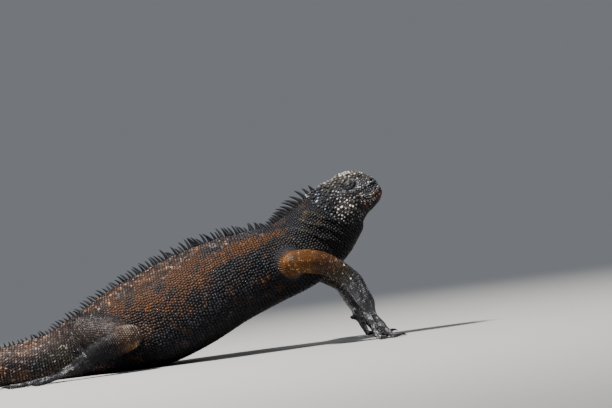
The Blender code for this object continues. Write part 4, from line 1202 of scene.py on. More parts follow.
fine_place = even_places(0.15, SNOUT - 0.05, 900)
fine_reach = arc_length(body_frame(fine_place)[2])
body_roots = rows_of_roots(fine_place, fine_reach, np.interp(fine_place, *BODY_PITCH), body_points)
body_coat = root_frames(body_points, *body_roots, 0.02)
print("roots on the body:", len(body_coat["point"]))

# %% Roots on the limbs
UPPER_PITCH, KNEE_PITCH, LIMB_PITCH, HAND_PITCH, DIGIT_PITCH = 0.0024, 0.0025, 0.0021, 0.0017, 0.0013
LOWER_MARKS = (0, 0.2, 0.55, 0.75, 1)
limb_coats = {}
for name, limb in limbs.items():
    share = np.linspace(0.012, 0.988, 200)
    pitch = np.full(200, DIGIT_PITCH if "digit" in name else UPPER_PITCH)
    if name.endswith("lower"):
        start = KNEE_PITCH if name.startswith("hind") else LIMB_PITCH
        pitch = np.interp(share, LOWER_MARKS, (start, LIMB_PITCH, LIMB_PITCH, HAND_PITCH, DIGIT_PITCH))
    roots = rows_of_roots(share, share * limb.length, pitch, limb.points)
    coat = root_frames(limb.points, *roots, 0.004)
    # Scales lie with their tips behind. A limb's shares run down to its tip, so its ahead is turned round.
    limb_coats[name] = coat | {"ahead": -coat["ahead"]}
print("roots on the limbs:", sum(len(coat["point"]) for coat in limb_coats.values()))

# %% [markdown]
# ## Shapes of scales
#
# Four small shapes do for the whole coat: a keeled tile that overlaps the next one, a round grain, a tall
# tubercle for the head and a low cobble for the knees. Each is written once, in units of its own length,
# width and height, with its root sunk into the skin.
# %% Scale shapes
def shape_arrays(points, faces, shade, smooth):
    """A shape's arrays, with the faces turned so that they point outwards (its volume comes out positive).
    The shade is painted shade and light: how much of a scale's light colour each point shows, none in the
    dark gaps between scales and all of it on the top, as if in full light."""
    points, faces = np.array(points, float), np.array(faces)
    corners = points[faces]
    volume = np.einsum("ij,ij->", corners[:, 0], np.cross(corners[:, 1], corners[:, 2]))
    return points, faces if volume > 0 else faces[:, ::-1], np.array(shade, float), smooth


def keeled_tile():
    """A six-sided outline with a ridge that climbs to the raised tip: x runs backwards, y across, z
    outwards."""
    points = [(-0.5, 0, -0.3), (-0.2, 0.48, -0.25), (0.25, 0.46, 0.05), (0.68, 0, 0.45), (0.25, -0.46, 0.05)]
    points += [(-0.2, -0.48, -0.25), (-0.22, 0, 0.55), (0.34, 0, 1.0)]
    faces = [(0, 5, 6), (0, 6, 1), (1, 6, 7), (1, 7, 2), (2, 7, 3), (3, 7, 4), (4, 7, 5), (5, 7, 6)]
    faces += [(0, 1, 2), (0, 2, 3), (0, 3, 4), (0, 4, 5)]
    return shape_arrays(points, faces, (0, 0, 0.25, 1.0, 0.25, 0, 0.12, 1.0), False)


def turned_shape(profile, sides, lean):
    """A profile of (radius, height, shade) turned round an upright axis that leans backwards, closed at
    both ends. Its last entry is the top, a single point."""
    angle = 2 * math.pi * (np.arange(sides) + 0.5) / sides
    body, (_, top, top_shade) = profile[:-1], profile[-1]
    cosine, sine = np.cos(angle), np.sin(angle)
    rings = [np.stack([r * cosine + lean * h, r * sine, 0 * angle + h], axis=1) for r, h, _ in body]
    points = np.vstack(rings + [[[0, 0, body[0][1]]], [[lean * top, 0, top]]])
    shade = np.concatenate([np.repeat([part[2] for part in body], sides), [0.0, top_shade]])
    return shape_arrays(points, ring_faces([sides] * len(rings)), shade, True)


# The third number of each ring is its painted shade: 0 dark as in the gaps between scales, 1 as light as a
# top in full light.
GRAIN_PROFILE = ((0.50, -0.35, 0), (0.42, 0.45, 0.5), (0.0, 1.0, 1.0))
TUBERCLE_PROFILE = ((0.52, -0.40, 0), (0.50, 0.08, 0), (0.36, 0.52, 0.5), (0.15, 0.90, 1), (0.0, 1.02, 1))
# The cobble's rings take their light colour almost down to the root: painted light on the knee.
COBBLE_PROFILE = ((0.52, -0.40, 0), (0.52, 0.10, 0.45), (0.38, 0.55, 1), (0.16, 0.88, 1), (0.0, 0.95, 1))
TILE = keeled_tile()
GRAIN = turned_shape(GRAIN_PROFILE, 6, 0.12)
TUBERCLE = turned_shape(TUBERCLE_PROFILE, 8, 0.15)
COBBLE = turned_shape(COBBLE_PROFILE, 8, 0.10)
for name, shape in (("tile", TILE), ("grain", GRAIN), ("tubercle", TUBERCLE), ("cobble", COBBLE)):
    print("a", name, "has", len(shape[1]), "triangles")


# %% Laying scales
SIZE_RANGE, WOBBLE, PATCH = (0.86, 1.14), 0.10, 0.003


def unwrap(coat):
    """The place of each root on an unwrap: position down the page and turn across it, in the coat's own
    panel."""
    (left, low), (wide, tall) = coat["panel"]
    position = coat["position"]
    share = (position - position.min()) / max(np.ptp(position), 1e-9)
    turn = np.mod(coat["turn"], 2 * math.pi)
    return np.stack([left + wide * turn / (2 * math.pi), low + tall * share], axis=1)


def lay_scales(name, coat, shape, size, draw):
    """One joined mesh of scales: the shape, set in every root's frame. Its size is length and width in
    pitches and height in metres, and each scale's own light, tilt and size are drawn a little unevenly."""
    points, faces, shade, smooth = shape
    many, corners = len(coat["point"]), len(points)
    size = (size[0] * coat["pitch"], size[1] * coat["pitch"], size[2])
    length, width, height = (value * draw.uniform(*SIZE_RANGE, many) for value in size)
    tilt = unit(coat["out"] + WOBBLE * draw.normal(size=coat["out"].shape))
    lie = unit(WOBBLE * draw.normal(size=coat["out"].shape) - coat["ahead"])
    lie = unit(lie - (lie * tilt).sum(axis=1, keepdims=True) * tilt)
    side = np.cross(tilt, lie)
    placed = coat["point"][:, None] + points[None, :, :1] * (length[:, None] * lie)[:, None]
    placed = placed + points[None, :, 1:2] * (width[:, None] * side)[:, None]
    placed = placed + points[None, :, 2:] * (height[:, None] * tilt)[:, None]
    placed[..., 2] = np.maximum(placed[..., 2], 0.00005)
    all_faces = (faces[None] + (np.arange(many) * corners)[:, None, None]).reshape(-1, 3)
    piece = make_piece(name, placed.reshape(-1, 3), all_faces, smooth)
    for mark, values in markings(coat["point"]).items():
        set_share(piece, mark, np.repeat(values, corners))
    tone = draw.uniform(0, 1, many) ** 2.3 * 0.95 + 0.05
    set_share(piece, "tone", np.repeat(np.clip(tone * coat.get("light", 1.0), 0, 1), corners))
    set_share(piece, "shade", np.tile(shade, many))
    patch = PATCH * (points[:, :2] - points[:, :2].min(axis=0)) / np.ptp(points[:, :2], axis=0)
    where = (unwrap(coat)[:, None] + patch[None]).reshape(-1, 2)
    uv = piece.data.uv_layers.new(name="OFBake")
    uv.data.foreach_set("uv", np.clip(where, 0, 1)[all_faces.ravel()].astype(np.float32).ravel())
    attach(piece, "root")
    coat_pieces.append(piece)
    print(name, many, "scales", len(all_faces), "triangles")


def part_of(coat, kept, panel):
    """The roots of a coat for which kept is true (or whose numbers it lists), with their panel of the
    unwrap."""
    return {key: value[kept] for key, value in coat.items() if key != "panel"} | {"panel": panel}


coat_pieces = []

# %% [markdown]
# ## The coat of the body
#
# The coat is laid in stretches that stay small enough to handle. Tail, hips and back carry keeled tiles in
# plain rows; flanks, neck and throat carry round grains, loosened a little from their rows as real ones
# are.
# %% Body coat
draw = np.random.default_rng(23)
place, turn = body_coat["position"], body_coat["turn"]
trunk, level, right_side = place - TRUNK_START, np.sin(turn), np.cos(turn) < 0
edge = 0.45 * drift(body_coat["point"], 0.014, 5) + draw.normal(0, 0.22, len(place))
tiled = (trunk < 2.3 + edge) | ((trunk < 7.4 + edge) & (level + 0.25 * edge > 0.62 + 0.05 * trunk))
ON_HEAD = HEAD_START - 1.9
STRETCHES = {
    "tail": tiled & (trunk < 0.0),
    "hips": tiled & (trunk >= 0.0),
    "flank_right": ~tiled & (place < ON_HEAD) & right_side & (trunk < 7.4),
    "flank_left": ~tiled & (place < ON_HEAD) & ~right_side & (trunk < 7.4),
    "neck": ~tiled & (place < ON_HEAD) & (trunk >= 7.4),
}
PANELS = {
    "tail": ((0.01, 0.01), (0.30, 0.32)),
    "hips": ((0.01, 0.34), (0.60, 0.20)),
    "flank_right": ((0.01, 0.55), (0.60, 0.22)),
    "flank_left": ((0.01, 0.55), (0.60, 0.22)),
    "neck": ((0.01, 0.78), (0.30, 0.21)),
    "head": ((0.32, 0.78), (0.30, 0.21)),
}
for name, kept in STRETCHES.items():
    coat = part_of(body_coat, kept, PANELS[name])
    if name in ("tail", "hips"):
        coat["light"] = 2.6 if name == "tail" else 1.1
        lay_scales("scales_" + name, coat, TILE, (1.22, 0.92, 0.0012), draw)
        continue
    slack = draw.normal(0, 0.10, coat["point"].shape) * coat["pitch"][:, None]
    coat["point"] = coat["point"] + slack - (slack * coat["out"]).sum(axis=1, keepdims=True) * coat["out"]
    if name == "neck":
        # Scales on the crests of the neck's folds take their light colour: the olive edges of the folds, and
        # painted light where the crests catch it.
        coat["light"] = 0.14 + 4.4 * np.clip(folds(coat["position"], coat["turn"]) / 0.0013, 0, 1)
    lay_scales("scales_" + name, coat, GRAIN, (0.96, 0.86, 0.0013), draw)

# %% Limb coats
KNEE_CAP = 0.22


def limb_panel(number, low, tall):
    """Each leg has its own panel of the unwrap, two side by side and two above them."""
    column, row = number % 2, number // 2
    return (0.63 + 0.18 * column, low[0] + low[1] * row), (0.17, tall)


def leg_tile(coat):
    """The size of a leg's tiles, whose height grows with their pitch."""
    return 1.16, 0.92, 0.0002 + 0.36 * coat["pitch"]


for number, label in enumerate(LEGS):
    hind = label.startswith("hind")
    panel = limb_panel(number, (0.01, 0.25), 0.12)
    upper = part_of(limb_coats[label + "_upper"], slice(None), panel)
    lower = part_of(limb_coats[label + "_lower"], slice(None), panel)
    # Scales over the tendons of hand and foot get more of their light colour: painted highlights on the
    # tendons.
    tendons = np.clip(lower_relief(lower["position"], lower["turn"]) / 0.0011, 0, 1)
    hand = step_up(lower["position"], 0.66, 0.03)
    lower["light"] = 1 + hand * (2.4 * tendons + 0.5) * (0.5 if hind else 1.0)
    if hind:
        lay_scales(f"scales_{label}_upper", upper, TILE, leg_tile(upper), draw)
        # Painted light on the knee cap: every scale shows its light colour.
        cap = part_of(lower, lower["position"] < KNEE_CAP, panel) | {"light": 6.0}
        lay_scales(f"scales_{label}_knee", cap, COBBLE, (0.90, 0.82, 0.0012), draw)
        lower = part_of(lower, lower["position"] >= KNEE_CAP, panel)
    else:
        lay_scales(f"scales_{label}_upper", upper, GRAIN, (1.00, 0.92, 0.0009), draw)
    lay_scales(f"scales_{label}_lower", lower, TILE, leg_tile(lower), draw)
    digits = [limb_coats[f"{label}_digit_{k}"] for k in range(1, 6)]
    joined = {key: np.concatenate([coat[key] for coat in digits]) for key in digits[0]}
    joined |= {"panel": limb_panel(number, (0.55, 0.2), 0.15)}
    # The upper side of the digits is up to twice as light: painted light from above.
    joined["light"] = (0.8 if hind else 1.6) * (1 + np.clip(np.sin(joined["turn"]), 0, 1))
    lay_scales(f"scales_{label}_digits", joined, TILE, (1.15, 1.1, 0.24 * joined["pitch"]), draw)

# %% [markdown]
# ## Scales without rows
#
# On the head the scales stand in no rows. They are thrown over the skin so that no two come closer than the
# size wanted there: tall blunt cones on crown and nape, round pale tubercles on the jowls, small grains on
# the snout and round the eye. The same throw fills the bare skin that is left where the legs grow out of
# the body.
# %% Throwing scales
def close_pairs(points, radius, chunk=600):
    """Pairs of points that stand closer than the mean of their radii, found a block at a time."""
    points = points - points.mean(axis=0)
    squares = (points**2).sum(axis=1)
    pairs = []
    for start in range(0, len(points), chunk):
        block = points[start : start + chunk]
        away = squares[start : start + chunk, None] + squares[None] - 2 * block @ points.T
        first, second = np.nonzero(away < (0.5 * (radius[start : start + chunk, None] + radius[None])) ** 2)
        pairs.append(np.stack([first + start, second], axis=1))
    pairs = np.vstack(pairs)
    return pairs[pairs[:, 0] < pairs[:, 1]].T


def thrown(points, radius, draw):
    """Which points to keep so that no two are closer than their radius: in each round the points that drew
    more than all their free neighbours stay, and their neighbours go."""
    first, second = close_pairs(points, radius)
    rank = draw.permutation(len(points)) + 1
    kept, free = np.zeros(len(points), bool), np.ones(len(points), bool)
    for _ in range(30):
        live = free[first] & free[second]
        best = np.zeros(len(points), int)
        np.maximum.at(best, first[live], rank[second[live]])
        np.maximum.at(best, second[live], rank[first[live]])
        chosen = free & (rank > best)
        kept |= chosen
        free &= ~chosen
        free[second[chosen[first]]] = False
        free[first[chosen[second]]] = False
    return kept


skin_normals = np.empty(len(skin_points) * 3, np.float32)
skin.data.vertex_normals.foreach_get("vector", skin_normals)
skin_normals = skin_normals.reshape(-1, 3).astype(float)
skin_place, skin_turn = along_body(skin_points)
triangle_place = skin_place[skin_triangles[:, 0]]


def skin_samples(wanted, count, draw):
    """{point, ahead, out, ...} at random places of the wanted triangles, evenly by area: a place in a
    triangle is a mean of its corners with random weights."""
    triangles = skin_triangles[wanted]
    corners = skin_points[triangles]
    area = np.linalg.norm(np.cross(corners[:, 1] - corners[:, 0], corners[:, 2] - corners[:, 0]), axis=1)
    chosen = draw.choice(len(triangles), count, p=area / area.sum())
    root, split = np.sqrt(draw.uniform(size=count)), draw.uniform(size=count)
    weights = np.stack([1 - root, root * (1 - split), root * split], axis=1)[..., None]
    out = unit((weights * skin_normals[triangles[chosen]]).sum(axis=1))
    place, turn = skin_place[triangles[chosen, 0]], skin_turn[triangles[chosen, 0]]
    facing = unit(body_frame(place + 0.05)[2] - body_frame(place - 0.05)[2])
    ahead = unit(facing - (facing * out).sum(axis=1, keepdims=True) * out + 1e-6)
    point = (weights * corners[chosen]).sum(axis=1)
    return {"point": point, "ahead": ahead, "out": out, "position": place, "turn": turn}


# %% Lips
WEDGES = 60


def lip_path(samples, wanted, pitch):
    """Even places along one row of lip scales, from one corner of the mouth round the snout to the other:
    the mean of the samples in each of many wedges of angle, then equal steps of arc."""
    point = samples["point"][wanted]
    forward, side, _ = in_head(point)
    angle = np.arctan2(side, forward - 0.020)
    wedge = np.digitize(angle, np.linspace(angle.min(), angle.max(), WEDGES)) - 1
    count = np.bincount(wedge, minlength=WEDGES)

    def wedge_means(values):
        """The mean of the values in each wedge that holds any."""
        sums = np.stack([np.bincount(wedge, values[:, k], WEDGES) for k in range(3)], axis=1)
        return (sums / np.maximum(count, 1)[:, None])[count > 0]

    path, out = wedge_means(point), unit(wedge_means(samples["out"][wanted]))
    arc = arc_length(path)
    steps = np.linspace(0, arc[-1], int(arc[-1] / pitch))

    def at_steps(values):
        """Values of the path read at equal steps of arc."""
        return np.stack([np.interp(steps, arc, values[:, k]) for k in range(3)], axis=1)

    even = at_steps(path)
    return on_skin(even), unit(np.gradient(even, axis=0)), unit(at_steps(out))


draw = np.random.default_rng(41)
head_samples = skin_samples(triangle_place > ON_HEAD - 0.15, 26000, draw)
forward, side, up = in_head(head_samples["point"])
above_mouth = up - mouth_up(forward)
LIP_ROWS = ((0.0013, 0.0017), (0.0031, 0.0020), (-0.0013, 0.0017), (-0.0031, 0.0020))
rows = []
for offset, pitch in LIP_ROWS:
    wanted = (np.abs(above_mouth - offset) < 0.0005) & (forward > MOUTH_BACK)
    point, ahead, out = lip_path(head_samples, wanted, pitch)
    many = len(point)
    page = (np.full(many, SNOUT - 1.0), np.linspace(0, 6.2, many))
    rows.append((point, ahead, out, np.full(many, pitch), *page))
names = ("point", "ahead", "out", "pitch", "position", "turn")
lip_coat = {name: np.concatenate([row[k] for row in rows]) for k, name in enumerate(names)}
lip_coat |= {"panel": ((0.64, 0.94), (0.34, 0.03)), "light": 1.15}
lip_coat["position"] = lip_coat["position"] + 0.4 * draw.uniform(size=len(lip_coat["point"]))
lay_scales("scales_lips", lip_coat, GRAIN, (0.98, 0.98, 0.00075), draw)

# %% Where the head's scales may stand
from_eye, from_nostril = eye_reach(forward, up), nostril_reach(forward, up)
open_skin = ~((from_eye < 0.93) & (np.abs(side) > 0.009))
open_skin &= ~((np.abs(above_mouth) < 0.00045) & (forward > MOUTH_BACK))
open_skin &= from_nostril > 0.0015
open_skin &= nearest(head_samples["point"], lip_coat["point"])[0] > 0.0010
head_samples = part_of(head_samples, open_skin, PANELS["head"])
head_points = head_samples["point"]
forward, side, up = in_head(head_points)
from_eye, from_nostril = from_eye[open_skin], from_nostril[open_skin]
print("open skin on the head:", len(head_points), "samples")

# %% Head scales
NOSTRIL_RIM, SMALL_GRAIN, TALL_FROM = 0.0023, 0.00105, 0.0026
crown = step_up(up, 0.0150, 0.0015) * (1 - step_up(forward, 0.0270, 0.003))
nape = 1 - step_up(forward, -0.004, 0.002)
jowl = (1 - step_up(forward, 0.0160, 0.002)) * (1 - step_up(up, 0.004, 0.002)) * step_up(up, -0.022, 0.003)
coarse = np.maximum(1.3 * nape * step_up(up, -0.004, 0.003), jowl)
spacing = 0.0021 + 0.0017 * crown + 0.0010 * coarse * (1 - crown)
spacing = spacing * (1 - 0.36 * hill(from_eye, 1.1, 0.38)) * draw.uniform(0.88, 1.12, len(spacing))
spacing = np.where(from_nostril < NOSTRIL_RIM, SMALL_GRAIN, spacing)
kept = thrown(head_points, spacing, draw)
raised = 0.0006 + 0.0018 * crown + 0.0008 * nape * (up > 0) + 0.0006 * jowl
raised *= (1 - 0.5 * hill(from_eye, 1.1, 0.4)) * np.where(from_nostril < NOSTRIL_RIM, 0.7, 1.0)
head_samples["pitch"] = spacing
tall, flat = kept & (spacing > TALL_FROM), kept & (spacing <= TALL_FROM)
coat = part_of(head_samples, tall, PANELS["head"])
coat["light"] = 0.75 + 1.05 * jowl[tall]
coat["out"] = unit(coat["out"] - 0.45 * crown[tall, None] * coat["ahead"])
lay_scales("scales_head_tubercles", coat, TUBERCLE, (0.96, 0.88, raised[tall]), draw)
coat = part_of(head_samples, flat, PANELS["head"])
lay_scales("scales_head_grains", coat, GRAIN, (1.12, 1.02, raised[flat]), draw)

# %% Small grains between them
away, closest = nearest(head_points, head_points[kept])
gaps = np.flatnonzero(away > 0.5 * spacing[kept][closest] + 0.0002)
head_samples["pitch"] = np.full(len(head_points), SMALL_GRAIN)
small = gaps[thrown(head_points[gaps], head_samples["pitch"][gaps], draw)]
coat = part_of(head_samples, small, PANELS["head"]) | {"light": 0.22}
lay_scales("scales_head_fine", coat, GRAIN, (1.2, 1.1, 0.00042), draw)


# %% Scales on the lids
LID_GRAIN = (0.00085, 0.0006, 0.00028)


def lid_roots(side, upper):
    """(point, ahead, out, row, column) on every second row of a lid's grid, each row a little shifted."""
    grid = lid_grid(side, upper, rows=24, columns=64)
    down, across = np.gradient(grid, axis=0), np.gradient(grid, axis=1)
    out = unit(np.cross(across, down))
    out = out * np.sign((out * np.array([0, side, 0.2])).sum(axis=-1, keepdims=True))
    row, start = np.meshgrid(np.arange(3, 25, 2), np.arange(0, 60, 3), indexing="ij")
    row, column = row.ravel(), (start + 2 + row % 4 // 2).ravel()
    return grid[row, column], unit(across[row, column]), out[row, column], row + 0.0, column / 10


for label, side in (("left", 1), ("right", -1)):
    found = [lid_roots(side, upper) for upper in (True, False)]
    point, ahead, out, row, column = (np.concatenate(parts) for parts in zip(*found))
    coat = {"point": point, "ahead": ahead, "out": out, "position": row, "turn": column}
    # These grains are sized in metres, so a pitch is one metre.
    coat |= {"pitch": 1.0, "panel": ((0.66, 0.97), (0.1, 0.02)), "light": 0.5}
    lay_scales("scales_lids_" + label, coat, GRAIN, LID_GRAIN, draw)


# %% Bare skin round the legs
def cell_keys(points, size, offset=(0, 0, 0)):
    """One number for the small cube that holds each point, or for a neighbour of it."""
    cell = np.floor(points / size).astype(np.int64) + 2000 + np.array(offset)
    return (cell[:, 0] * 4096 + cell[:, 1]) * 4096 + cell[:, 2]


CELL, CREASE_GRAIN = 0.0013, 0.0015
coats = [body_coat, *limb_coats.values()]
taken = np.unique(np.concatenate([cell_keys(coat["point"], CELL) for coat in coats]))
samples = skin_samples((triangle_place < ON_HEAD) & (triangle_place > TRUNK_START - 3), 60000, draw)
bare = samples["point"][:, 2] > 0.0004
for offset in np.ndindex(3, 3, 3):
    bare &= ~np.isin(cell_keys(samples["point"], CELL, np.array(offset) - 1), taken)
bare = np.flatnonzero(bare)
samples["pitch"] = np.full(len(samples["point"]), CREASE_GRAIN)
bare = bare[thrown(samples["point"][bare], samples["pitch"][bare], draw)]
coat = part_of(samples, bare, PANELS["hips"])
lay_scales("scales_creases", coat, GRAIN, (1.2, 1.1, 0.0006), draw)
count = sum(len(piece.data.polygons) for piece in coat_pieces)
print("coat:", count, "triangles in", len(coat_pieces), "pieces")

# %% [markdown]
# ## Skin, scale and horn
#
# One node group turns the marking shares into a colour, so skin and scales can't disagree. It starts from
# charcoal with painted blue-grey glints, painted reflections on single scales, and mixes in each marking.
# Every scale has a tone of its own, which picks between the dark and the light colour of its marking, as in
# life, where each scale is a little different.
# %% Node helpers
def add_node(tree, kind, **values):
    """A node of the given type with its properties set."""
    made = tree.nodes.new(kind)
    for key, value in values.items():
        setattr(made, key, value)
    return made


def join(tree, source, target):
    """A link from one node's output to another's input."""
    tree.links.new(source, target)


def set_inputs(node, numbers):
    """Sets input sockets of a node, each by its name."""
    for name, number in numbers.items():
        node.inputs[name].default_value = number


def mathematics(tree, operation, first, second=None, third=None, clamp=False):
    """A Math node; each input is a socket or a number."""
    node = add_node(tree, "ShaderNodeMath", operation=operation, use_clamp=clamp)
    for socket, value in zip(node.inputs, (first, second, third)):
        if value is None:
            continue
        if hasattr(value, "is_output"):
            join(tree, value, socket)
        else:
            socket.default_value = value
    return node.outputs[0]


def product(tree, first, second, clamp=False):
    """A Math node for first times second."""
    return mathematics(tree, "MULTIPLY", first, second, clamp=clamp)


def scaled(tree, value, factor, shift, clamp=False):
    """A Math node for value times factor plus shift."""
    return mathematics(tree, "MULTIPLY_ADD", value, factor, shift, clamp=clamp)


def blend_colour(tree, share, first, second):
    """A Mix node for colours; each colour is a socket or three numbers."""
    node = add_node(tree, "ShaderNodeMix", data_type="RGBA")
    for socket, value in ((node.inputs[0], share), (node.inputs[6], first), (node.inputs[7], second)):
        if hasattr(value, "is_output"):
            join(tree, value, socket)
        elif isinstance(value, (int, float)):
            socket.default_value = value
        else:
            socket.default_value = (*value, 1)
    return node.outputs[2]


def share_of(tree, name):
    """A number that each vertex carries under this name."""
    return add_node(tree, "ShaderNodeAttribute", attribute_name=name).outputs["Fac"]


def noise(tree, scale, detail=3.0):
    """Noise on Object coordinates; the scale is in waves per metre."""
    place = add_node(tree, "ShaderNodeTexCoord").outputs["Object"]
    node = add_node(tree, "ShaderNodeTexNoise")
    join(tree, place, node.inputs["Vector"])
    set_inputs(node, {"Scale": scale, "Detail": detail, "Roughness": 0.6})
    return node.outputs["Fac"]


def cells(tree, scale):
    """Rounded cells on Object coordinates, for grains too small to model: high in the middle of each cell."""
    place = add_node(tree, "ShaderNodeTexCoord").outputs["Object"]
    node = add_node(tree, "ShaderNodeTexVoronoi")
    join(tree, place, node.inputs["Vector"])
    node.inputs["Scale"].default_value = scale
    return mathematics(tree, "SUBTRACT", 1.0, node.outputs["Distance"])


# %% The markings group
COLOURS = {
    "earth": ((0.020, 0.013, 0.011), (0.660, 0.370, 0.245)),
    "rust": ((0.036, 0.014, 0.006), (0.900, 0.370, 0.090)),
    "olive": ((0.020, 0.018, 0.012), (0.640, 0.560, 0.350)),
    "ochre": ((0.070, 0.026, 0.007), (0.840, 0.440, 0.130)),
    "cream": ((0.020, 0.017, 0.017), (0.900, 0.830, 0.730)),
    "flesh": ((0.040, 0.016, 0.010), (0.520, 0.250, 0.140)),
    # Grey skin and painted sheen: the light colour is nearly white.
    "silver": ((0.020, 0.020, 0.023), (0.940, 0.950, 0.980)),
    # The colours of the painted shade: near black.
    "night": ((0.003, 0.003, 0.004), (0.024, 0.024, 0.030)),
}
CHARCOAL, PAINTED_GLINT = (0.004, 0.004, 0.006), (0.460, 0.520, 0.640)


def markings_group():
    """Mixes the markings over charcoal with painted blue-grey glints; the tone, a fine noise and the painted
    shade of each point choose between dark and light. Where skin is grey with a painted sheen it is smoother
    too, and the Gloss output gives it a thin clear coat."""
    tree = bpy.data.node_groups.new("iguana_markings", "ShaderNodeTree")
    tree.interface.new_socket("Contrast", in_out="INPUT", socket_type="NodeSocketFloat").default_value = 1.0
    for name, kind in (("Color", "Color"), ("Roughness", "Float"), ("Gloss", "Float")):
        tree.interface.new_socket(name, in_out="OUTPUT", socket_type="NodeSocket" + kind)
    entry, exit_node = add_node(tree, "NodeGroupInput"), add_node(tree, "NodeGroupOutput")
    grain, patches, clusters = noise(tree, 900.0), noise(tree, 55.0), noise(tree, 190.0, 1.0)
    tone = product(tree, share_of(tree, "tone"), entry.outputs["Contrast"])
    light = mathematics(tree, "ADD", tone, scaled(tree, grain, 0.4, -0.2), clamp=True)
    # Painted shade and light: dark in the gaps between scales, light on their tops, from each point's shade
    # share.
    light = product(tree, light, scaled(tree, share_of(tree, "shade"), 1.1, 0.04))
    clusters = scaled(tree, clusters, 4.8, -2.05, clamp=True)
    light = product(tree, light, scaled(tree, clusters, 1.60, 0.28), clamp=True)
    # Painted reflections: blue-grey glints on single scales over the charcoal.
    glint = product(tree, light, scaled(tree, patches, 1.6, -0.25, clamp=True))
    colour = blend_colour(tree, glint, CHARCOAL, PAINTED_GLINT)
    for name, (dark, bright) in COLOURS.items():
        colour = blend_colour(tree, share_of(tree, name), colour, blend_colour(tree, light, dark, bright))
    rough, glossy = scaled(tree, grain, 0.26, 0.44), scaled(tree, grain, 0.16, 0.18)
    silver = share_of(tree, "silver")
    gap = mathematics(tree, "SUBTRACT", glossy, rough)
    join(tree, colour, exit_node.inputs["Color"])
    join(tree, mathematics(tree, "MULTIPLY_ADD", gap, silver, rough), exit_node.inputs["Roughness"])
    join(tree, product(tree, silver, 0.45), exit_node.inputs["Gloss"])
    return tree


MARKINGS = markings_group()


def principled(name):
    """(material, tree, shader) of a new material."""
    made = bpy.data.materials.new(name)
    made.use_nodes = True
    tree = made.node_tree
    return made, tree, tree.nodes["Principled BSDF"]


def add_bump(tree, shader, relief, strength, depth):
    """Small relief on a material: a Bump node between a height and the shader's normal."""
    bump = add_node(tree, "ShaderNodeBump")
    set_inputs(bump, {"Strength": strength, "Distance": depth})
    join(tree, relief, bump.inputs["Height"])
    join(tree, bump.outputs["Normal"], shader.inputs["Normal"])


def hide_material(name, contrast, relief, waves, depth, specular):
    """Skin or scale: the markings group with its own contrast, and a bump of noise or of cells."""
    made, tree, shader = principled(name)
    group = add_node(tree, "ShaderNodeGroup", node_tree=MARKINGS)
    set_inputs(group, {"Contrast": contrast})
    for output, target in (("Color", "Base Color"), ("Roughness", "Roughness"), ("Gloss", "Coat Weight")):
        join(tree, group.outputs[output], shader.inputs[target])
    set_inputs(shader, {"Coat Roughness": 0.30, "Specular IOR Level": specular})
    add_bump(tree, shader, cells(tree, waves) if relief == "cells" else noise(tree, waves, 4.0), 0.6, depth)
    return made


def horn_material(name, dark, light, roughness):
    """Horn of spines and claws: streaks of lighter horn in near black, with a gloss."""
    made, tree, shader = principled(name)
    streaks = scaled(tree, noise(tree, 420.0, 4.0), 1.8, -0.55, clamp=True)
    join(tree, blend_colour(tree, streaks, dark, light), shader.inputs["Base Color"])
    join(tree, scaled(tree, noise(tree, 1500.0), 0.25, roughness), shader.inputs["Roughness"])
    set_inputs(shader, {"Specular IOR Level": 0.2})
    add_bump(tree, shader, noise(tree, 1100.0), 0.5, 0.0002)
    return made


def eye_material():
    """A dark brown eye under a wet, clear surface."""
    made, tree, shader = principled("eye_wet")
    brown = blend_colour(tree, noise(tree, 700.0), (0.010, 0.006, 0.004), (0.055, 0.028, 0.012))
    join(tree, brown, shader.inputs["Base Color"])
    set_inputs(shader, {"Roughness": 0.08, "Coat Weight": 0.8})
    return made


# %% Who wears what
SKIN_PAINT = hide_material("iguana_skin", 0.5, "noise", 1400.0, 0.0002, 0.05)
LID_PAINT = hide_material("iguana_lids", 1.0, "cells", 1500.0, 0.0004, 0.3)
SCALE_PAINT = hide_material("iguana_scales", 1.0, "noise", 2600.0, 0.0001, 0.22)
CREST_PAINT = horn_material("crest_horn", (0.003, 0.003, 0.004), (0.020, 0.020, 0.023), 0.42)
CLAW_PAINT = horn_material("claw_horn", (0.006, 0.006, 0.007), (0.040, 0.036, 0.034), 0.22)
EYE_PAINT = eye_material()
for lid in lids:
    lid_points, _ = mesh_arrays(lid)
    for name, values in markings(lid_points).items():
        set_share(lid, name, values * (0.4 if name == "cream" else 1.0))
    set_share(lid, "tone", np.full(len(lid_points), 0.12))
    # The lids take a middling painted shade.
    set_share(lid, "shade", np.full(len(lid_points), 0.6))
WEARERS = (
    ([skin], SKIN_PAINT),
    (lids, LID_PAINT),
    (coat_pieces, SCALE_PAINT),
    (crest_pieces, CREST_PAINT),
    (claw_pieces, CLAW_PAINT),
    (eyes, EYE_PAINT),
)
for pieces, paint in WEARERS:
    for piece in pieces:
        piece.data.materials.append(paint)
print("materials:", sorted(material.name for material in bpy.data.materials if material.users))

# %% [markdown]
# ## Floor, light and camera
#
# The model stands on a plain pale floor in soft light. The camera looks from the animal's right side, rolled
# so that its body climbs, with a lens for the photograph's framing: 612 pixels wide, a millimetre to a pixel.
# %% Floor and world
scene = bpy.context.scene
FLOOR_HALF = 8.0
corners = FLOOR_HALF * np.array([[-1, -1, 0], [1, -1, 0], [1, 1, 0], [-1, 1, 0]], float) - SHIFT
floor = make_piece("floor", corners, np.array([[0, 1, 2], [0, 2, 3]]), smooth=False)
WORLD_COLOUR, WORLD_STRENGTH = (0.86, 0.91, 1.0), 0.20
FLOOR_COLOUR, BLACK, FADE_FROM, FADE_TO = (0.30, 0.30, 0.295), (0, 0, 0), 0.55, 2.6
paint, tree, shader = principled("pale_floor")
reach = add_node(tree, "ShaderNodeVectorMath", operation="LENGTH")
join(tree, add_node(tree, "ShaderNodeTexCoord").outputs["Object"], reach.inputs[0])
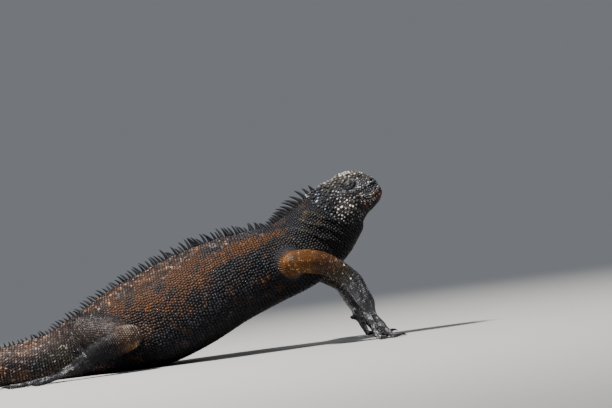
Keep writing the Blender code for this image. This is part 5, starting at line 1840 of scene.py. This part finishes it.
far = add_node(tree, "ShaderNodeMapRange", interpolation_type="SMOOTHERSTEP")
join(tree, reach.outputs["Value"], far.inputs["Value"])
set_inputs(far, {"From Min": FADE_FROM, "From Max": FADE_TO})
faded = far.outputs["Result"]
join(tree, blend_colour(tree, faded, FLOOR_COLOUR, BLACK), shader.inputs["Base Color"])
join(tree, blend_colour(tree, faded, BLACK, WORLD_COLOUR), shader.inputs["Emission Color"])
set_inputs(shader, {"Roughness": 0.9, "Specular IOR Level": 0.0, "Emission Strength": WORLD_STRENGTH})
floor.data.materials.append(paint)
world = bpy.data.worlds.new("studio")
world.use_nodes = True
set_inputs(world.node_tree.nodes["Background"], {"Color": (*WORLD_COLOUR, 1), "Strength": WORLD_STRENGTH})
scene.world = world


# %% Lights
def area_light(name, place, aim, size, watts, colour):
    """A square lamp at a place, turned so that it shines at another."""
    lamp = bpy.data.lights.new(name, "AREA")
    lamp.size, lamp.energy, lamp.color = size, watts, colour
    obj = bpy.data.objects.new(name, lamp)
    bpy.context.scene.collection.objects.link(obj)
    obj.location = place
    obj.rotation_euler = (Vector(aim) - Vector(place)).to_track_quat("-Z", "Y").to_euler()


MIDDLE = (0.12, 0.0, 0.08)
area_light("key", (-0.42, -0.46, 1.48), MIDDLE, 0.20, 104.0, (1.0, 0.97, 0.92))
area_light("fill", (1.15, -0.80, 1.05), (0.30, 0.0, 0.10), 0.4, 6.0, (0.93, 0.96, 1.0))
area_light("rim", (0.5, 1.6, 1.1), MIDDLE, 1.0, 7.0, (0.95, 0.97, 1.0))

# %% Camera
CAMERA_AWAY, ROLL_ANGLE, LOOK_UP = 2.2, math.radians(7.5), math.radians(1.3)
TARGET = (0.307, 0.0, 0.1411)
PIXELS_WIDE, SENSOR = 612, 36.0
right = Vector((math.cos(ROLL_ANGLE), 0, -math.sin(ROLL_ANGLE)))
plumb = Vector((math.sin(ROLL_ANGLE), 0, math.cos(ROLL_ANGLE)))
look = Vector((0, 1, 0)) * math.cos(LOOK_UP) + plumb * math.sin(LOOK_UP)
axes = Matrix((right, right.cross(look), -look)).transposed().to_4x4()
axes.translation = Vector(TARGET) + Vector(SHIFT) - look * CAMERA_AWAY
camera_data = bpy.data.cameras.new("camera")
camera_data.sensor_width = SENSOR
camera_data.lens = SENSOR / (PIXELS_WIDE / 1000) * CAMERA_AWAY
camera = bpy.data.objects.new("camera", camera_data)
scene.collection.objects.link(camera)
camera.matrix_world = axes
scene.camera = camera
print("camera at", [round(value, 3) for value in axes.translation], "lens", round(camera_data.lens, 1))
